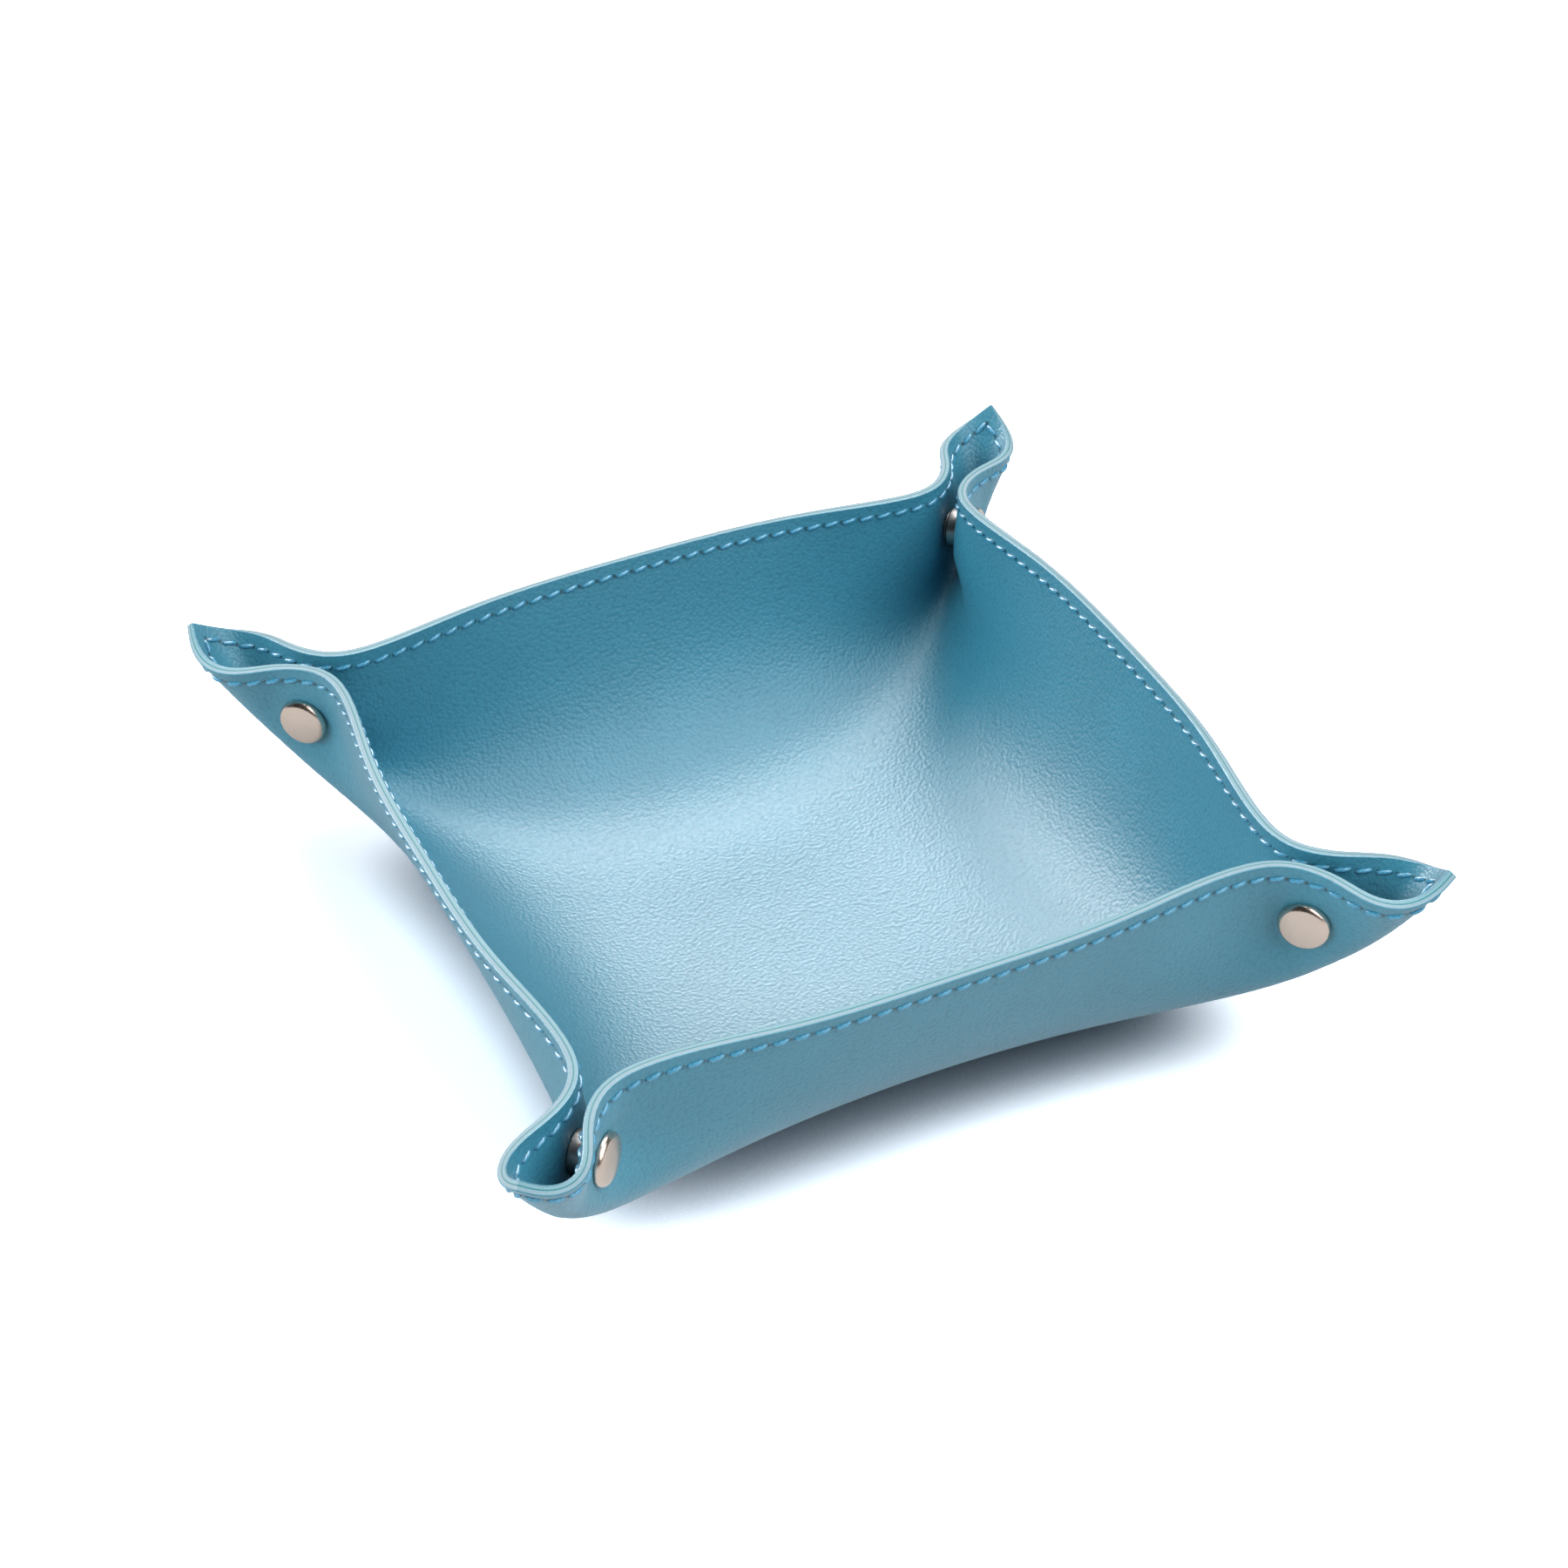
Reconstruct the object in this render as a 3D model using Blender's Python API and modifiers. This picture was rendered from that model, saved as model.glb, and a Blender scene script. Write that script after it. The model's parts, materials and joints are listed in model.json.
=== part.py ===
"""Square leather snap tray.

One flat square of lined leather is pinched at its four corners, and a snap fastener holds each pinch,
so the sides stand up as walls and every corner of the square points outwards and upwards as an ear.
Run it in Blender, from the text editor or with blender --background --python part.py.

Frame: metres, +Z up, origin on the table under the middle of the tray. The walls face +X, -X, +Y and -Y.
"""

import math

import bmesh
import bpy
import numpy as np
from mathutils import Matrix, Vector

MM = 0.001

# Driving sizes of the sheet, which is measured flat
SHEET_SIDE = 200 * MM
OUTER_THICKNESS = 0.9 * MM
LINING_THICKNESS = 0.8 * MM
BOND_LINE = 0.3 * MM
SNAP_FROM_CORNER = 29 * MM
SNAP_FROM_EDGE = 12.5 * MM
STITCH_FROM_EDGE = 2.4 * MM
THREAD_RADIUS = 0.2 * MM

# Snap fastener, measured along its axis from the plane in which its two halves meet
SNAP_GRIP = 3.4 * MM
CAP_RADIUS = 5.0 * MM
CAP_HEIGHT = 2.0 * MM
CAP_ROLL = 0.6 * MM
CAP_SHELL = 0.45 * MM
POST_FLANGE = 0.4 * MM
POST_RADIUS = 1.0 * MM
RIVET_HEAD = 0.3 * MM
SOCKET_RADIUS = 4.2 * MM
SOCKET_BASE = 0.4 * MM
SOCKET_LIP = 0.2 * MM
SOCKET_CHAMFER = 0.4 * MM
SPRING_GROOVE_DEPTH = 0.65 * MM
SPRING_WIRE_RADIUS = 0.25 * MM
SPRING_GAP_ANGLE = math.radians(36)
STUD_HEAD_RADIUS = 1.75 * MM
STUD_UNDERCUT = 0.2 * MM
STUD_FLANGE_RADIUS = 3.4 * MM
STUD_FLANGE = 0.3 * MM
STUD_TIP_WALL = 0.55 * MM

# Clearances: pieces that touch are drawn this far apart
SEAT_GAP = 0.2 * MM
FLANGE_PLAY = 0.375 * MM
RIVET_PLAY = 0.35 * MM
SPRING_PLAY = 0.05 * MM
SEAM_GAP = 0.3 * MM
PINCH_ROOM = 0.4 * MM
CUT_OVERRUN = 1.0 * MM

# Leather round a snap: how far it lies flat past the cap, and the width in which it blends into the wall
SNAP_FLAT_MARGIN = 2 * MM
SNAP_BLEND_WIDTH = 8 * MM

# The formed tray, as shares of the sheet's half side
FLOOR_RADIUS_SHARE = 0.36
TIP_SHARES = (0.897, 0.486)
TIP_RISE = math.radians(52.5)
SNAP_TILT = math.radians(87)

# How far a snap ends up inwards of the ear's tip and below the top edge, as shares of its flat distances
# from the corner and from the edge
SNAP_REACH_SHARE = 0.867
SNAP_DROP_SHARE = 0.96

# Top edge of one half wall, from the wall's middle to the pinch beside the snap. Each row is the place along
# the flat edge and along the formed edge, as shares of the pinch's own, then how far outwards and how high
# that is, and how the leather arrives there (outwards, along the wall, up).
WALL_RIM_SHARES = (
    (0.0000, 0.0000, 0.735, 0.478, (0.225, 0.00, 0.975)),
    (0.5072, 0.5116, 0.721, 0.476, (0.110, 0.02, 0.990)),
    (0.8406, 0.8497, 0.690, 0.467, (0.050, 0.02, 1.000)),
)

# The pinch: how far inwards of the snap on the flat edge and on the formed tray, how high, and the leather there
PINCH_PLACE_SHARE = 0.02
PINCH_INWARD_SHARE = 0.0127
PINCH_HEIGHT_SHARE = 0.455
PINCH_LEAN_SHARES = (0.042, 0.0, 1.0)

# Top edge of one side of an ear, from the pinch to the tip. Each row is the place along the flat edge and
# along the formed ear, as shares of the way to the tip, then how far off the fold and how high that is.
EAR_RIM_SHARES = (
    (0.3548, 0.3885, 0.0385, 0.447, (0.205, -0.15, 0.970)),
    (0.6774, 0.7454, 0.0415, 0.448, (0.480, -0.33, 0.810)),
)

# Mesh fineness
FLOOR_STEPS = 2
WALL_STEPS = 4
LINE_GAP = 1.5 * MM
CAP_SIDES = 16
TURNED_SIDES = 12
DOME_STEPS = 4
SPRING_POINTS = 13

# Sizes worked out from the driving ones
HALF_SIDE = SHEET_SIDE / 2
STITCH_LINE = HALF_SIDE - STITCH_FROM_EDGE
BOND_TO_OUTSIDE = BOND_LINE / 2 + OUTER_THICKNESS
BOND_TO_INSIDE = BOND_LINE / 2 + LINING_THICKNESS
INNER_FACE = SNAP_GRIP / 2
SNAP_OUT = INNER_FACE + BOND_TO_INSIDE
OUTER_FACE = SNAP_OUT + BOND_TO_OUTSIDE
HOLE_RADIUS = POST_RADIUS + SEAT_GAP
CAP_MOUTH_RADIUS = CAP_RADIUS - CAP_ROLL - CAP_SHELL / 2
POST_FLANGE_RADIUS = CAP_MOUTH_RADIUS - FLANGE_PLAY
SOCKET_THROAT_RADIUS = STUD_HEAD_RADIUS + SEAT_GAP
RIVET_HEAD_RADIUS = SOCKET_THROAT_RADIUS - RIVET_PLAY
STUD_NECK_RADIUS = STUD_HEAD_RADIUS - STUD_UNDERCUT
SOCKET_FLOOR = INNER_FACE - SEAT_GAP - SOCKET_BASE
RIVET_HEAD_TOP = SOCKET_FLOOR - SEAT_GAP
RIVET_HEAD_BOTTOM = RIVET_HEAD_TOP - RIVET_HEAD
STUD_TIP = RIVET_HEAD_BOTTOM - SEAT_GAP
THREAD_LIFT = SEAM_GAP + THREAD_RADIUS
SNAP_FLAT_RADIUS = CAP_RADIUS + SNAP_FLAT_MARGIN
PINCH_HALF_GAP = BOND_TO_INSIDE + THREAD_LIFT + THREAD_RADIUS + PINCH_ROOM
NORMAL_PROBE = SEAT_GAP / 2
DIAGONAL = math.sqrt(0.5)

# Linear colours
LEATHER_BLUE = (0.130, 0.275, 0.345, 1.0)
LINING_BLUE = (0.115, 0.300, 0.385, 1.0)
THREAD_BLUE = (0.050, 0.290, 0.420, 1.0)
CAP_NICKEL = (0.780, 0.700, 0.620, 1.0)
BARE_STEEL = (0.560, 0.560, 0.550, 1.0)


def clear_scene():
    for item in list(bpy.data.objects):
        bpy.data.objects.remove(item, do_unlink=True)


def make_collection(name, hidden=False):
    group = bpy.data.collections.new(name)
    bpy.context.scene.collection.children.link(group)
    group.hide_render = hidden
    return group


def make_material(name, colour, roughness, metallic=0.0):
    material = bpy.data.materials.new(name)
    material.use_nodes = True
    shader = material.node_tree.nodes["Principled BSDF"]
    shader.inputs["Base Color"].default_value = colour
    shader.inputs["Roughness"].default_value = roughness
    shader.inputs["Metallic"].default_value = metallic
    material.diffuse_color = colour
    return material


def clamped_spline(places, values, start_slope, end_slope):
    """Cubic spline through the values, with the slope given at both ends."""
    places = np.array(places)
    values = np.array(values)
    steps = np.diff(places)
    rises = np.diff(values, axis=0) / steps[:, None]
    count = len(places)
    matrix = np.eye(count)
    right = np.zeros_like(values)
    right[0] = start_slope
    right[-1] = end_slope
    for i in range(1, count - 1):
        matrix[i, i - 1] = steps[i]
        matrix[i, i] = 2 * (steps[i - 1] + steps[i])
        matrix[i, i + 1] = steps[i - 1]
        right[i] = 3 * (steps[i] * rises[i - 1] + steps[i - 1] * rises[i])
    slopes = np.linalg.solve(matrix, right)

    def at(place):
        i = int(np.clip(np.searchsorted(places, place) - 1, 0, count - 2))
        t = (place - places[i]) / steps[i]
        return hermite(t, values[i], slopes[i] * steps[i], values[i + 1], slopes[i + 1] * steps[i])

    return at


def hermite(t, start, leave, end, arrive):
    """Cubic from start to end that leaves and arrives with the given vectors."""
    blend = 3 * t ** 2 - 2 * t ** 3
    return start + (end - start) * blend + leave * (t - 2 * t ** 2 + t ** 3) + arrive * (t ** 3 - t ** 2)


def hermite_slope(t, start, leave, end, arrive):
    blend = 6 * t - 6 * t ** 2
    return (end - start) * blend + leave * (1 - 4 * t + 3 * t ** 2) + arrive * (3 * t ** 2 - 2 * t)


def smooth_step(t):
    t = min(max(t, 0.0), 1.0)
    return t * t * (3 - 2 * t)


class FormedSheet:
    """Where each point of the flat sheet lies on the snapped tray, in the bond between its two leathers."""

    def __init__(self):
        tip = np.array((TIP_SHARES[0], TIP_SHARES[0], TIP_SHARES[1]))
        along = math.cos(TIP_RISE) / 2
        rise = math.sin(TIP_RISE) * DIAGONAL
        edge_at_tip = np.array((along - 0.5, along + 0.5, rise))
        lean_at_tip = np.array((along + 0.5, along - 0.5, rise))
        from_edge = SNAP_FROM_EDGE / HALF_SIDE
        from_corner = SNAP_FROM_CORNER / HALF_SIDE
        self.snap_along = TIP_SHARES[0] / DIAGONAL - SNAP_REACH_SHARE * from_corner
        pinch_place = 1 - from_corner - PINCH_PLACE_SHARE
        pinch_along = self.snap_along * DIAGONAL - PINCH_INWARD_SHARE
        off_fold = PINCH_HALF_GAP / HALF_SIDE * DIAGONAL
        pinch = (pinch_along + off_fold, pinch_along - off_fold, PINCH_HEIGHT_SHARE)
        rows = [(place * pinch_place, (out, along * pinch[1], up), lean)
                for place, along, out, up, lean in WALL_RIM_SHARES]
        rows.append((pinch_place, pinch, PINCH_LEAN_SHARES))
        for place, reach, off, up, lean in EAR_RIM_SHARES:
            middle = pinch_along + reach * (TIP_SHARES[0] - pinch_along)
            rows.append((pinch_place + place * (1 - pinch_place), (middle + off, middle - off, up), lean))
        rows.append((1, tip, lean_at_tip))
        places = np.array([row[0] for row in rows])
        points = np.array([row[1] for row in rows])
        leans = np.array([row[2] for row in rows])
        lean_slope = (leans[-1] - leans[-2]) / (places[-1] - places[-2])
        self.rim = clamped_spline(places, points, np.array((0.0, 1.0, 0.0)), edge_at_tip)
        self.lean = clamped_spline(places, leans, np.zeros(3), lean_slope)
        self.floor_corner = FLOOR_RADIUS_SHARE * DIAGONAL
        self.ridge_length = 1 - self.floor_corner
        self.tip = tip
        self.snap_flat = np.array((1 - from_edge, 1 - from_corner))
        self.snap_height = self.rim(1 - from_corner)[2] - SNAP_DROP_SHARE * from_edge
        self.snap_out = SNAP_OUT / HALF_SIDE
        self.flat_radius = SNAP_FLAT_RADIUS / HALF_SIDE
        self.blend_width = SNAP_BLEND_WIDTH / HALF_SIDE

    def ridge(self, place):
        """Point and slope of the fold line that runs from the floor to the ear's tip."""
        t = max(0.0, (place - self.floor_corner) / self.ridge_length)
        start = np.array((self.floor_corner, self.floor_corner, 0.0))
        leave = np.array((1.0, 1.0, 0.0)) * self.ridge_length
        across = math.cos(TIP_RISE)
        arrive = np.array((across, across, math.sin(TIP_RISE) / DIAGONAL)) * self.ridge_length
        point = hermite(t, start, leave, self.tip, arrive)
        slope = hermite_slope(t, start, leave, self.tip, arrive) / self.ridge_length
        return point, slope

    def snap_frame(self):
        """Centre of the flat patch of leather at a snap, and its directions up the wall and along it."""
        out = (self.snap_along + self.snap_out) * DIAGONAL
        along = (self.snap_along - self.snap_out) * DIAGONAL
        centre = np.array((out, along, self.snap_height))
        cosine, sine = math.cos(SNAP_TILT), math.sin(SNAP_TILT)
        up = np.array((cosine * DIAGONAL, cosine * DIAGONAL, sine))
        side = np.array((sine * DIAGONAL, sine * DIAGONAL, -cosine))
        return centre, up, side

    def wall_point(self, u, v):
        """Formed place of a point of the eighth of the sheet where u is at least v and v is at least 0."""
        if v < self.floor_corner:
            rib_start = math.sqrt(FLOOR_RADIUS_SHARE ** 2 - v ** 2)
            start = np.array((rib_start, v, 0.0))
            leave = np.array((1.0, 0.0, 0.0))
        else:
            rib_start = v
            start, slope = self.ridge(v)
            leave = slope / 2 + np.array((0.5, -0.5, 0.0))
        length = max(1 - rib_start, 1e-9)
        t = (u - rib_start) / length
        if t <= 0:
            point = np.array((u, v, 0.0)) if v < self.floor_corner else start
        else:
            point = hermite(t, start, leave * length, self.rim(v), self.lean(v) * length)
        away = ((u - self.snap_flat[0]) ** 4 + (v - self.snap_flat[1]) ** 4) ** 0.25
        weight = smooth_step(1 - (away - self.flat_radius) / self.blend_width)
        if weight > 0:
            centre, up, side = self.snap_frame()
            flat = centre + (u - self.snap_flat[0]) * up + (v - self.snap_flat[1]) * side
            point = point + (flat - point) * weight
        return point

    def middle(self, x, y):
        """Formed place of the flat point (x, y), in metres, in the bond between the leathers."""
        u, v = abs(x) / HALF_SIDE, abs(y) / HALF_SIDE
        if u >= v:
            formed = self.wall_point(u, v)
        else:
            formed = self.wall_point(v, u)[[1, 0, 2]]
        formed = formed * HALF_SIDE
        return Vector((math.copysign(formed[0], x), math.copysign(formed[1], y), formed[2] + BOND_TO_OUTSIDE))

    def point(self, x, y, inwards=0.0):
        """Formed place of the flat point (x, y), moved towards the tray's inside."""
        middle = self.middle(x, y)
        if inwards == 0:
            return middle
        west_x, east_x = max(x - NORMAL_PROBE, -HALF_SIDE), min(x + NORMAL_PROBE, HALF_SIDE)
        south_y, north_y = max(y - NORMAL_PROBE, -HALF_SIDE), min(y + NORMAL_PROBE, HALF_SIDE)
        east = self.middle(east_x, y) - self.middle(west_x, y)
        north = self.middle(x, north_y) - self.middle(x, south_y)
        return middle + east.cross(north).normalized() * inwards


def grid_places():
    """Places of the mesh lines across the sheet: three at each flat patch of a snap and one on the seam."""
    floor_edge = FLOOR_RADIUS_SHARE * HALF_SIDE
    patches = (HALF_SIDE - SNAP_FROM_CORNER, HALF_SIDE - SNAP_FROM_EDGE)
    patch_lines = sorted(centre + side * SNAP_FLAT_RADIUS for centre in patches for side in (-1, 0, 1))
    floor = np.linspace(0, floor_edge, FLOOR_STEPS + 1)
    wall = np.linspace(floor_edge, patch_lines[0], WALL_STEPS + 1)
    half = [*floor, *wall[1:]]
    for line in patch_lines[1:]:
        if line - half[-1] > LINE_GAP and STITCH_LINE - line > LINE_GAP:
            half.append(line)
    half = np.array([*half, STITCH_LINE, HALF_SIDE])
    return np.concatenate((-half[:0:-1], half))


def split_towards_corners(bm):
    """Split each square of the flat grid along the line that points from the middle to its corner."""
    for face in list(bm.faces):
        ordered = sorted(face.verts, key=lambda vertex: abs(vertex.co.x) + abs(vertex.co.y))
        bmesh.utils.face_split(face, ordered[0], ordered[-1])


def make_layer(name, sheet, group, material, inwards, thickness, side):
    """One layer of leather: the flat grid is moved to its formed place and thickened to one side."""
    places = grid_places()
    steps = len(places) - 1
    mesh = bpy.data.meshes.new(name)
    bm = bmesh.new()
    bmesh.ops.create_grid(bm, x_segments=steps, y_segments=steps, size=HALF_SIDE)
    even = np.linspace(-HALF_SIDE, HALF_SIDE, steps + 1)
    split_towards_corners(bm)
    for vertex in bm.verts:
        x = float(np.interp(vertex.co.x, even, places))
        y = float(np.interp(vertex.co.y, even, places))
        vertex.co = sheet.point(x, y, inwards)
    bm.to_mesh(mesh)
    bm.free()
    mesh.shade_smooth()
    layer = bpy.data.objects.new(name, mesh)
    mesh.materials.append(material)
    group.objects.link(layer)
    solidify = layer.modifiers.new("thickness", "SOLIDIFY")
    solidify.thickness = thickness
    solidify.offset = side
    solidify.use_even_offset = True
    return layer


def cut_holes(layer, cutters):
    holes = layer.modifiers.new("snap_holes", "BOOLEAN")
    holes.operation = "DIFFERENCE"
    holes.operand_type = "COLLECTION"
    holes.collection = cutters
    holes.solver = "EXACT"


def make_thread(name, sheet, group, material, inwards):
    """Seam thread as one closed loop along the stitch line, on one face of the leather."""
    side = grid_places()[1:-2]
    route = [(x, -STITCH_LINE) for x in side]
    route += [(STITCH_LINE, y) for y in side]
    route += [(-x, STITCH_LINE) for x in side]
    route += [(-STITCH_LINE, -y) for y in side]
    curve = bpy.data.curves.new(name, "CURVE")
    curve.dimensions = "3D"
    curve.bevel_depth = THREAD_RADIUS
    curve.bevel_resolution = 1
    spline = curve.splines.new("POLY")
    spline.points.add(len(route) - 1)
    spline.use_cyclic_u = True
    for place, (x, y) in zip(spline.points, route):
        place.co = (*sheet.point(x, y, inwards), 1)
    curve.materials.append(material)
    thread = bpy.data.objects.new(name, curve)
    group.objects.link(thread)
    return thread


def make_turned(name, group, profile, sides, material, parent, closed=False):
    """Turned piece: a profile of (radius, height) points, outer side first and downwards, round local Z."""
    mesh = bpy.data.meshes.new(name)
    points = [(radius, 0, height) for radius, height in profile]
    edges = [(i, i + 1) for i in range(len(points) - 1)]
    if closed:
        edges.append((len(points) - 1, 0))
    mesh.from_pydata(points, edges, [])
    mesh.materials.append(material)
    piece = bpy.data.objects.new(name, mesh)
    group.objects.link(piece)
    piece.parent = parent
    screw = piece.modifiers.new("turn", "SCREW")
    screw.axis = "Z"
    screw.steps = sides
    screw.render_steps = sides
    screw.use_merge_vertices = True
    screw.merge_threshold = 0.01 * MM
    screw.use_smooth_shade = True
    return piece


def dome(radius, top, drop, steps):
    """Points of a round dome from its crown on the axis down to its rim."""
    ball = (radius ** 2 + drop ** 2) / (2 * drop)
    reach = math.asin(radius / ball)
    angles = [reach * i / steps for i in range(steps + 1)]
    return [(ball * math.sin(a), top - ball * (1 - math.cos(a))) for a in angles]


def cap_profile():
    """Domed cap shell with a rolled rim, hollow underneath."""
    seat = OUTER_FACE + SEAT_GAP
    top = seat + CAP_HEIGHT
    shoulder = CAP_RADIUS - CAP_ROLL / 2
    roll_top = seat + CAP_ROLL
    outside = dome(shoulder, top, top - roll_top - CAP_ROLL / 2, DOME_STEPS)
    roll = [(CAP_RADIUS, roll_top), (CAP_RADIUS, seat + CAP_ROLL / 2), (shoulder, seat)]
    inside = dome(CAP_MOUTH_RADIUS, top - CAP_SHELL, top - CAP_SHELL - roll_top, DOME_STEPS // 2)
    return outside + roll + [(CAP_MOUTH_RADIUS, seat)] + inside[::-1]


def post_head(bottom):
    """Flange that the cap closes over, and the start of the shank under it."""
    seat = OUTER_FACE + SEAT_GAP
    flange_top = seat + POST_FLANGE
    return [(0, flange_top), (POST_FLANGE_RADIUS, flange_top), (POST_FLANGE_RADIUS, seat),
            (POST_RADIUS, seat), (POST_RADIUS, bottom)]


def rivet_profile():
    """Post of the socket half: its inner end is spread into a head inside the socket."""
    return post_head(RIVET_HEAD_TOP) + [(RIVET_HEAD_RADIUS, RIVET_HEAD_TOP),
                                        (RIVET_HEAD_RADIUS, RIVET_HEAD_BOTTOM), (0, RIVET_HEAD_BOTTOM)]


def stud_bore_end():
    return STUD_TIP_WALL - STUD_TIP


def stud_post_profile():
    """Post of the stud half: its inner end is set inside the hollow stud."""
    bottom = stud_bore_end() + SEAT_GAP
    return post_head(bottom) + [(0, bottom)]


def socket_mouth():
    """Height of the socket's open end, which meets the stud's flange."""
    return SEAT_GAP + STUD_FLANGE + SEAT_GAP - INNER_FACE


def spring_height():
    """Height of the ring spring: its groove starts above the socket's lip."""
    return socket_mouth() + SOCKET_LIP + SEAT_GAP + SPRING_WIRE_RADIUS


def socket_profile():
    """Socket ring with a lip at its mouth and the spring's groove above it."""
    back = INNER_FACE - SEAT_GAP
    mouth = socket_mouth()
    lip_top = mouth + SOCKET_LIP
    throat = SOCKET_THROAT_RADIUS
    groove = throat + SPRING_GROOVE_DEPTH
    groove_top = spring_height() + SPRING_WIRE_RADIUS + SEAT_GAP
    return [(SOCKET_RADIUS, back), (SOCKET_RADIUS, mouth + SOCKET_CHAMFER),
            (SOCKET_RADIUS - SOCKET_CHAMFER, mouth), (throat, mouth), (throat, lip_top),
            (groove, lip_top), (groove, groove_top), (throat, groove_top), (throat, SOCKET_FLOOR),
            (HOLE_RADIUS, SOCKET_FLOOR), (HOLE_RADIUS, back)]


def stud_profile():
    """Hollow stud with a flange against the leather, a neck and a wider head."""
    back = INNER_FACE - SEAT_GAP
    flange_top = back - STUD_FLANGE
    neck = (flange_top - STUD_TIP) / 2
    return [(STUD_FLANGE_RADIUS, back), (STUD_FLANGE_RADIUS, flange_top), (STUD_NECK_RADIUS, flange_top),
            (STUD_NECK_RADIUS, neck), (STUD_HEAD_RADIUS, 0), (HOLE_RADIUS, -STUD_TIP), (0, -STUD_TIP),
            (0, stud_bore_end()), (HOLE_RADIUS, stud_bore_end()), (HOLE_RADIUS, back)]


def make_spring(name, group, material, parent):
    """Split ring of wire in the socket's groove, round the stud's neck."""
    radius = STUD_HEAD_RADIUS + SPRING_PLAY + SPRING_WIRE_RADIUS
    curve = bpy.data.curves.new(name, "CURVE")
    curve.dimensions = "3D"
    curve.bevel_depth = SPRING_WIRE_RADIUS
    curve.bevel_resolution = 1
    curve.use_fill_caps = True
    spline = curve.splines.new("POLY")
    spline.points.add(SPRING_POINTS - 1)
    sweep = 2 * math.pi - SPRING_GAP_ANGLE
    for i, place in enumerate(spline.points):
        angle = SPRING_GAP_ANGLE / 2 + sweep * i / (SPRING_POINTS - 1)
        place.co = (radius * math.cos(angle), radius * math.sin(angle), spring_height(), 1)
    curve.materials.append(material)
    spring = bpy.data.objects.new(name, curve)
    group.objects.link(spring)
    spring.parent = parent
    return spring


def snap_axis_empty(name, sheet, group, along_x, along_y, outwards):
    """Empty on the snap's axis, in the plane where its halves meet, with +Z out through its wall."""
    centre = Vector((along_x, along_y, 0)).normalized() * sheet.snap_along * HALF_SIDE
    centre.z = sheet.snap_height * HALF_SIDE + BOND_TO_OUTSIDE
    up = Vector((0, 0, 1))
    rotation = Matrix((up.cross(outwards), up, outwards)).transposed()
    empty = bpy.data.objects.new(name, None)
    empty.empty_display_size = SNAP_GRIP
    empty.matrix_world = Matrix.Translation(centre) @ rotation.to_4x4()
    group.objects.link(empty)
    return empty


def make_hole_cutter(name, group, parent):
    bm = bmesh.new()
    depth = OUTER_FACE - INNER_FACE + 2 * CUT_OVERRUN
    bmesh.ops.create_cone(bm, cap_ends=True, segments=TURNED_SIDES, radius1=HOLE_RADIUS,
                          radius2=HOLE_RADIUS, depth=depth)
    mesh = bpy.data.meshes.new(name)
    bm.to_mesh(mesh)
    bm.free()
    cutter = bpy.data.objects.new(name, mesh)
    cutter.location.z = SNAP_OUT
    cutter.hide_render = True
    cutter.display_type = "WIRE"
    cutter.parent = parent
    group.objects.link(cutter)
    return cutter


def make_snap(corner, along_x, along_y, sheet, group, cutters, materials):
    """Both halves of one corner's snap: the socket half on the wall that faces X, the stud half on Y's."""
    socket_side = Vector((along_x, -along_y, 0)).normalized()
    socket_half = snap_axis_empty("socket_half_" + corner, sheet, group, along_x, along_y, socket_side)
    stud_half = snap_axis_empty("stud_half_" + corner, sheet, group, along_x, along_y, -socket_side)
    cap, steel = materials["cap"], materials["steel"]
    make_turned("cap_socket_" + corner, group, cap_profile(), CAP_SIDES, cap, socket_half)
    make_turned("cap_stud_" + corner, group, cap_profile(), CAP_SIDES, cap, stud_half)
    make_turned("rivet_" + corner, group, rivet_profile(), TURNED_SIDES, steel, socket_half)
    make_turned("stud_post_" + corner, group, stud_post_profile(), TURNED_SIDES, steel, stud_half)
    make_turned("socket_" + corner, group, socket_profile(), TURNED_SIDES, steel, socket_half, closed=True)
    make_turned("stud_" + corner, group, stud_profile(), TURNED_SIDES, steel, stud_half, closed=True)
    make_spring("spring_" + corner, group, steel, socket_half)
    make_hole_cutter("hole_socket_" + corner, cutters, socket_half)
    make_hole_cutter("hole_stud_" + corner, cutters, stud_half)


def main():
    clear_scene()
    tray = make_collection("jewelry_tray")
    cutters = make_collection("cutters", hidden=True)
    materials = {
        "outer": make_material("outer_leather", LEATHER_BLUE, 0.55),
        "lining": make_material("lining_leather", LINING_BLUE, 0.50),
        "thread": make_material("seam_thread", THREAD_BLUE, 0.60),
        "cap": make_material("nickel_cap", CAP_NICKEL, 0.22, 1.0),
        "steel": make_material("plated_steel", BARE_STEEL, 0.30, 1.0),
    }
    sheet = FormedSheet()
    half_bond = BOND_LINE / 2
    outer = make_layer("leather_outer", sheet, tray, materials["outer"], -half_bond, OUTER_THICKNESS, -1)
    lining = make_layer("leather_lining", sheet, tray, materials["lining"], half_bond, LINING_THICKNESS, 1)
    corners = {"front_left": (-1, -1), "front_right": (1, -1), "back_right": (1, 1), "back_left": (-1, 1)}
    for corner, (along_x, along_y) in corners.items():
        make_snap(corner, along_x, along_y, sheet, tray, cutters, materials)
    cut_holes(outer, cutters)
    cut_holes(lining, cutters)
    make_thread("thread_needle", sheet, tray, materials["thread"], -BOND_TO_OUTSIDE - THREAD_LIFT)
    make_thread("thread_bobbin", sheet, tray, materials["thread"], BOND_TO_INSIDE + THREAD_LIFT)


main()
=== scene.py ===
"""Looks of a square leather snap tray: grained leather, cut edges, lockstitched seam and polished ring snaps.

Laid out as an add-on and run as a script. Frame: metres, +Z up, origin on the table under the tray's middle.
"""

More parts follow.
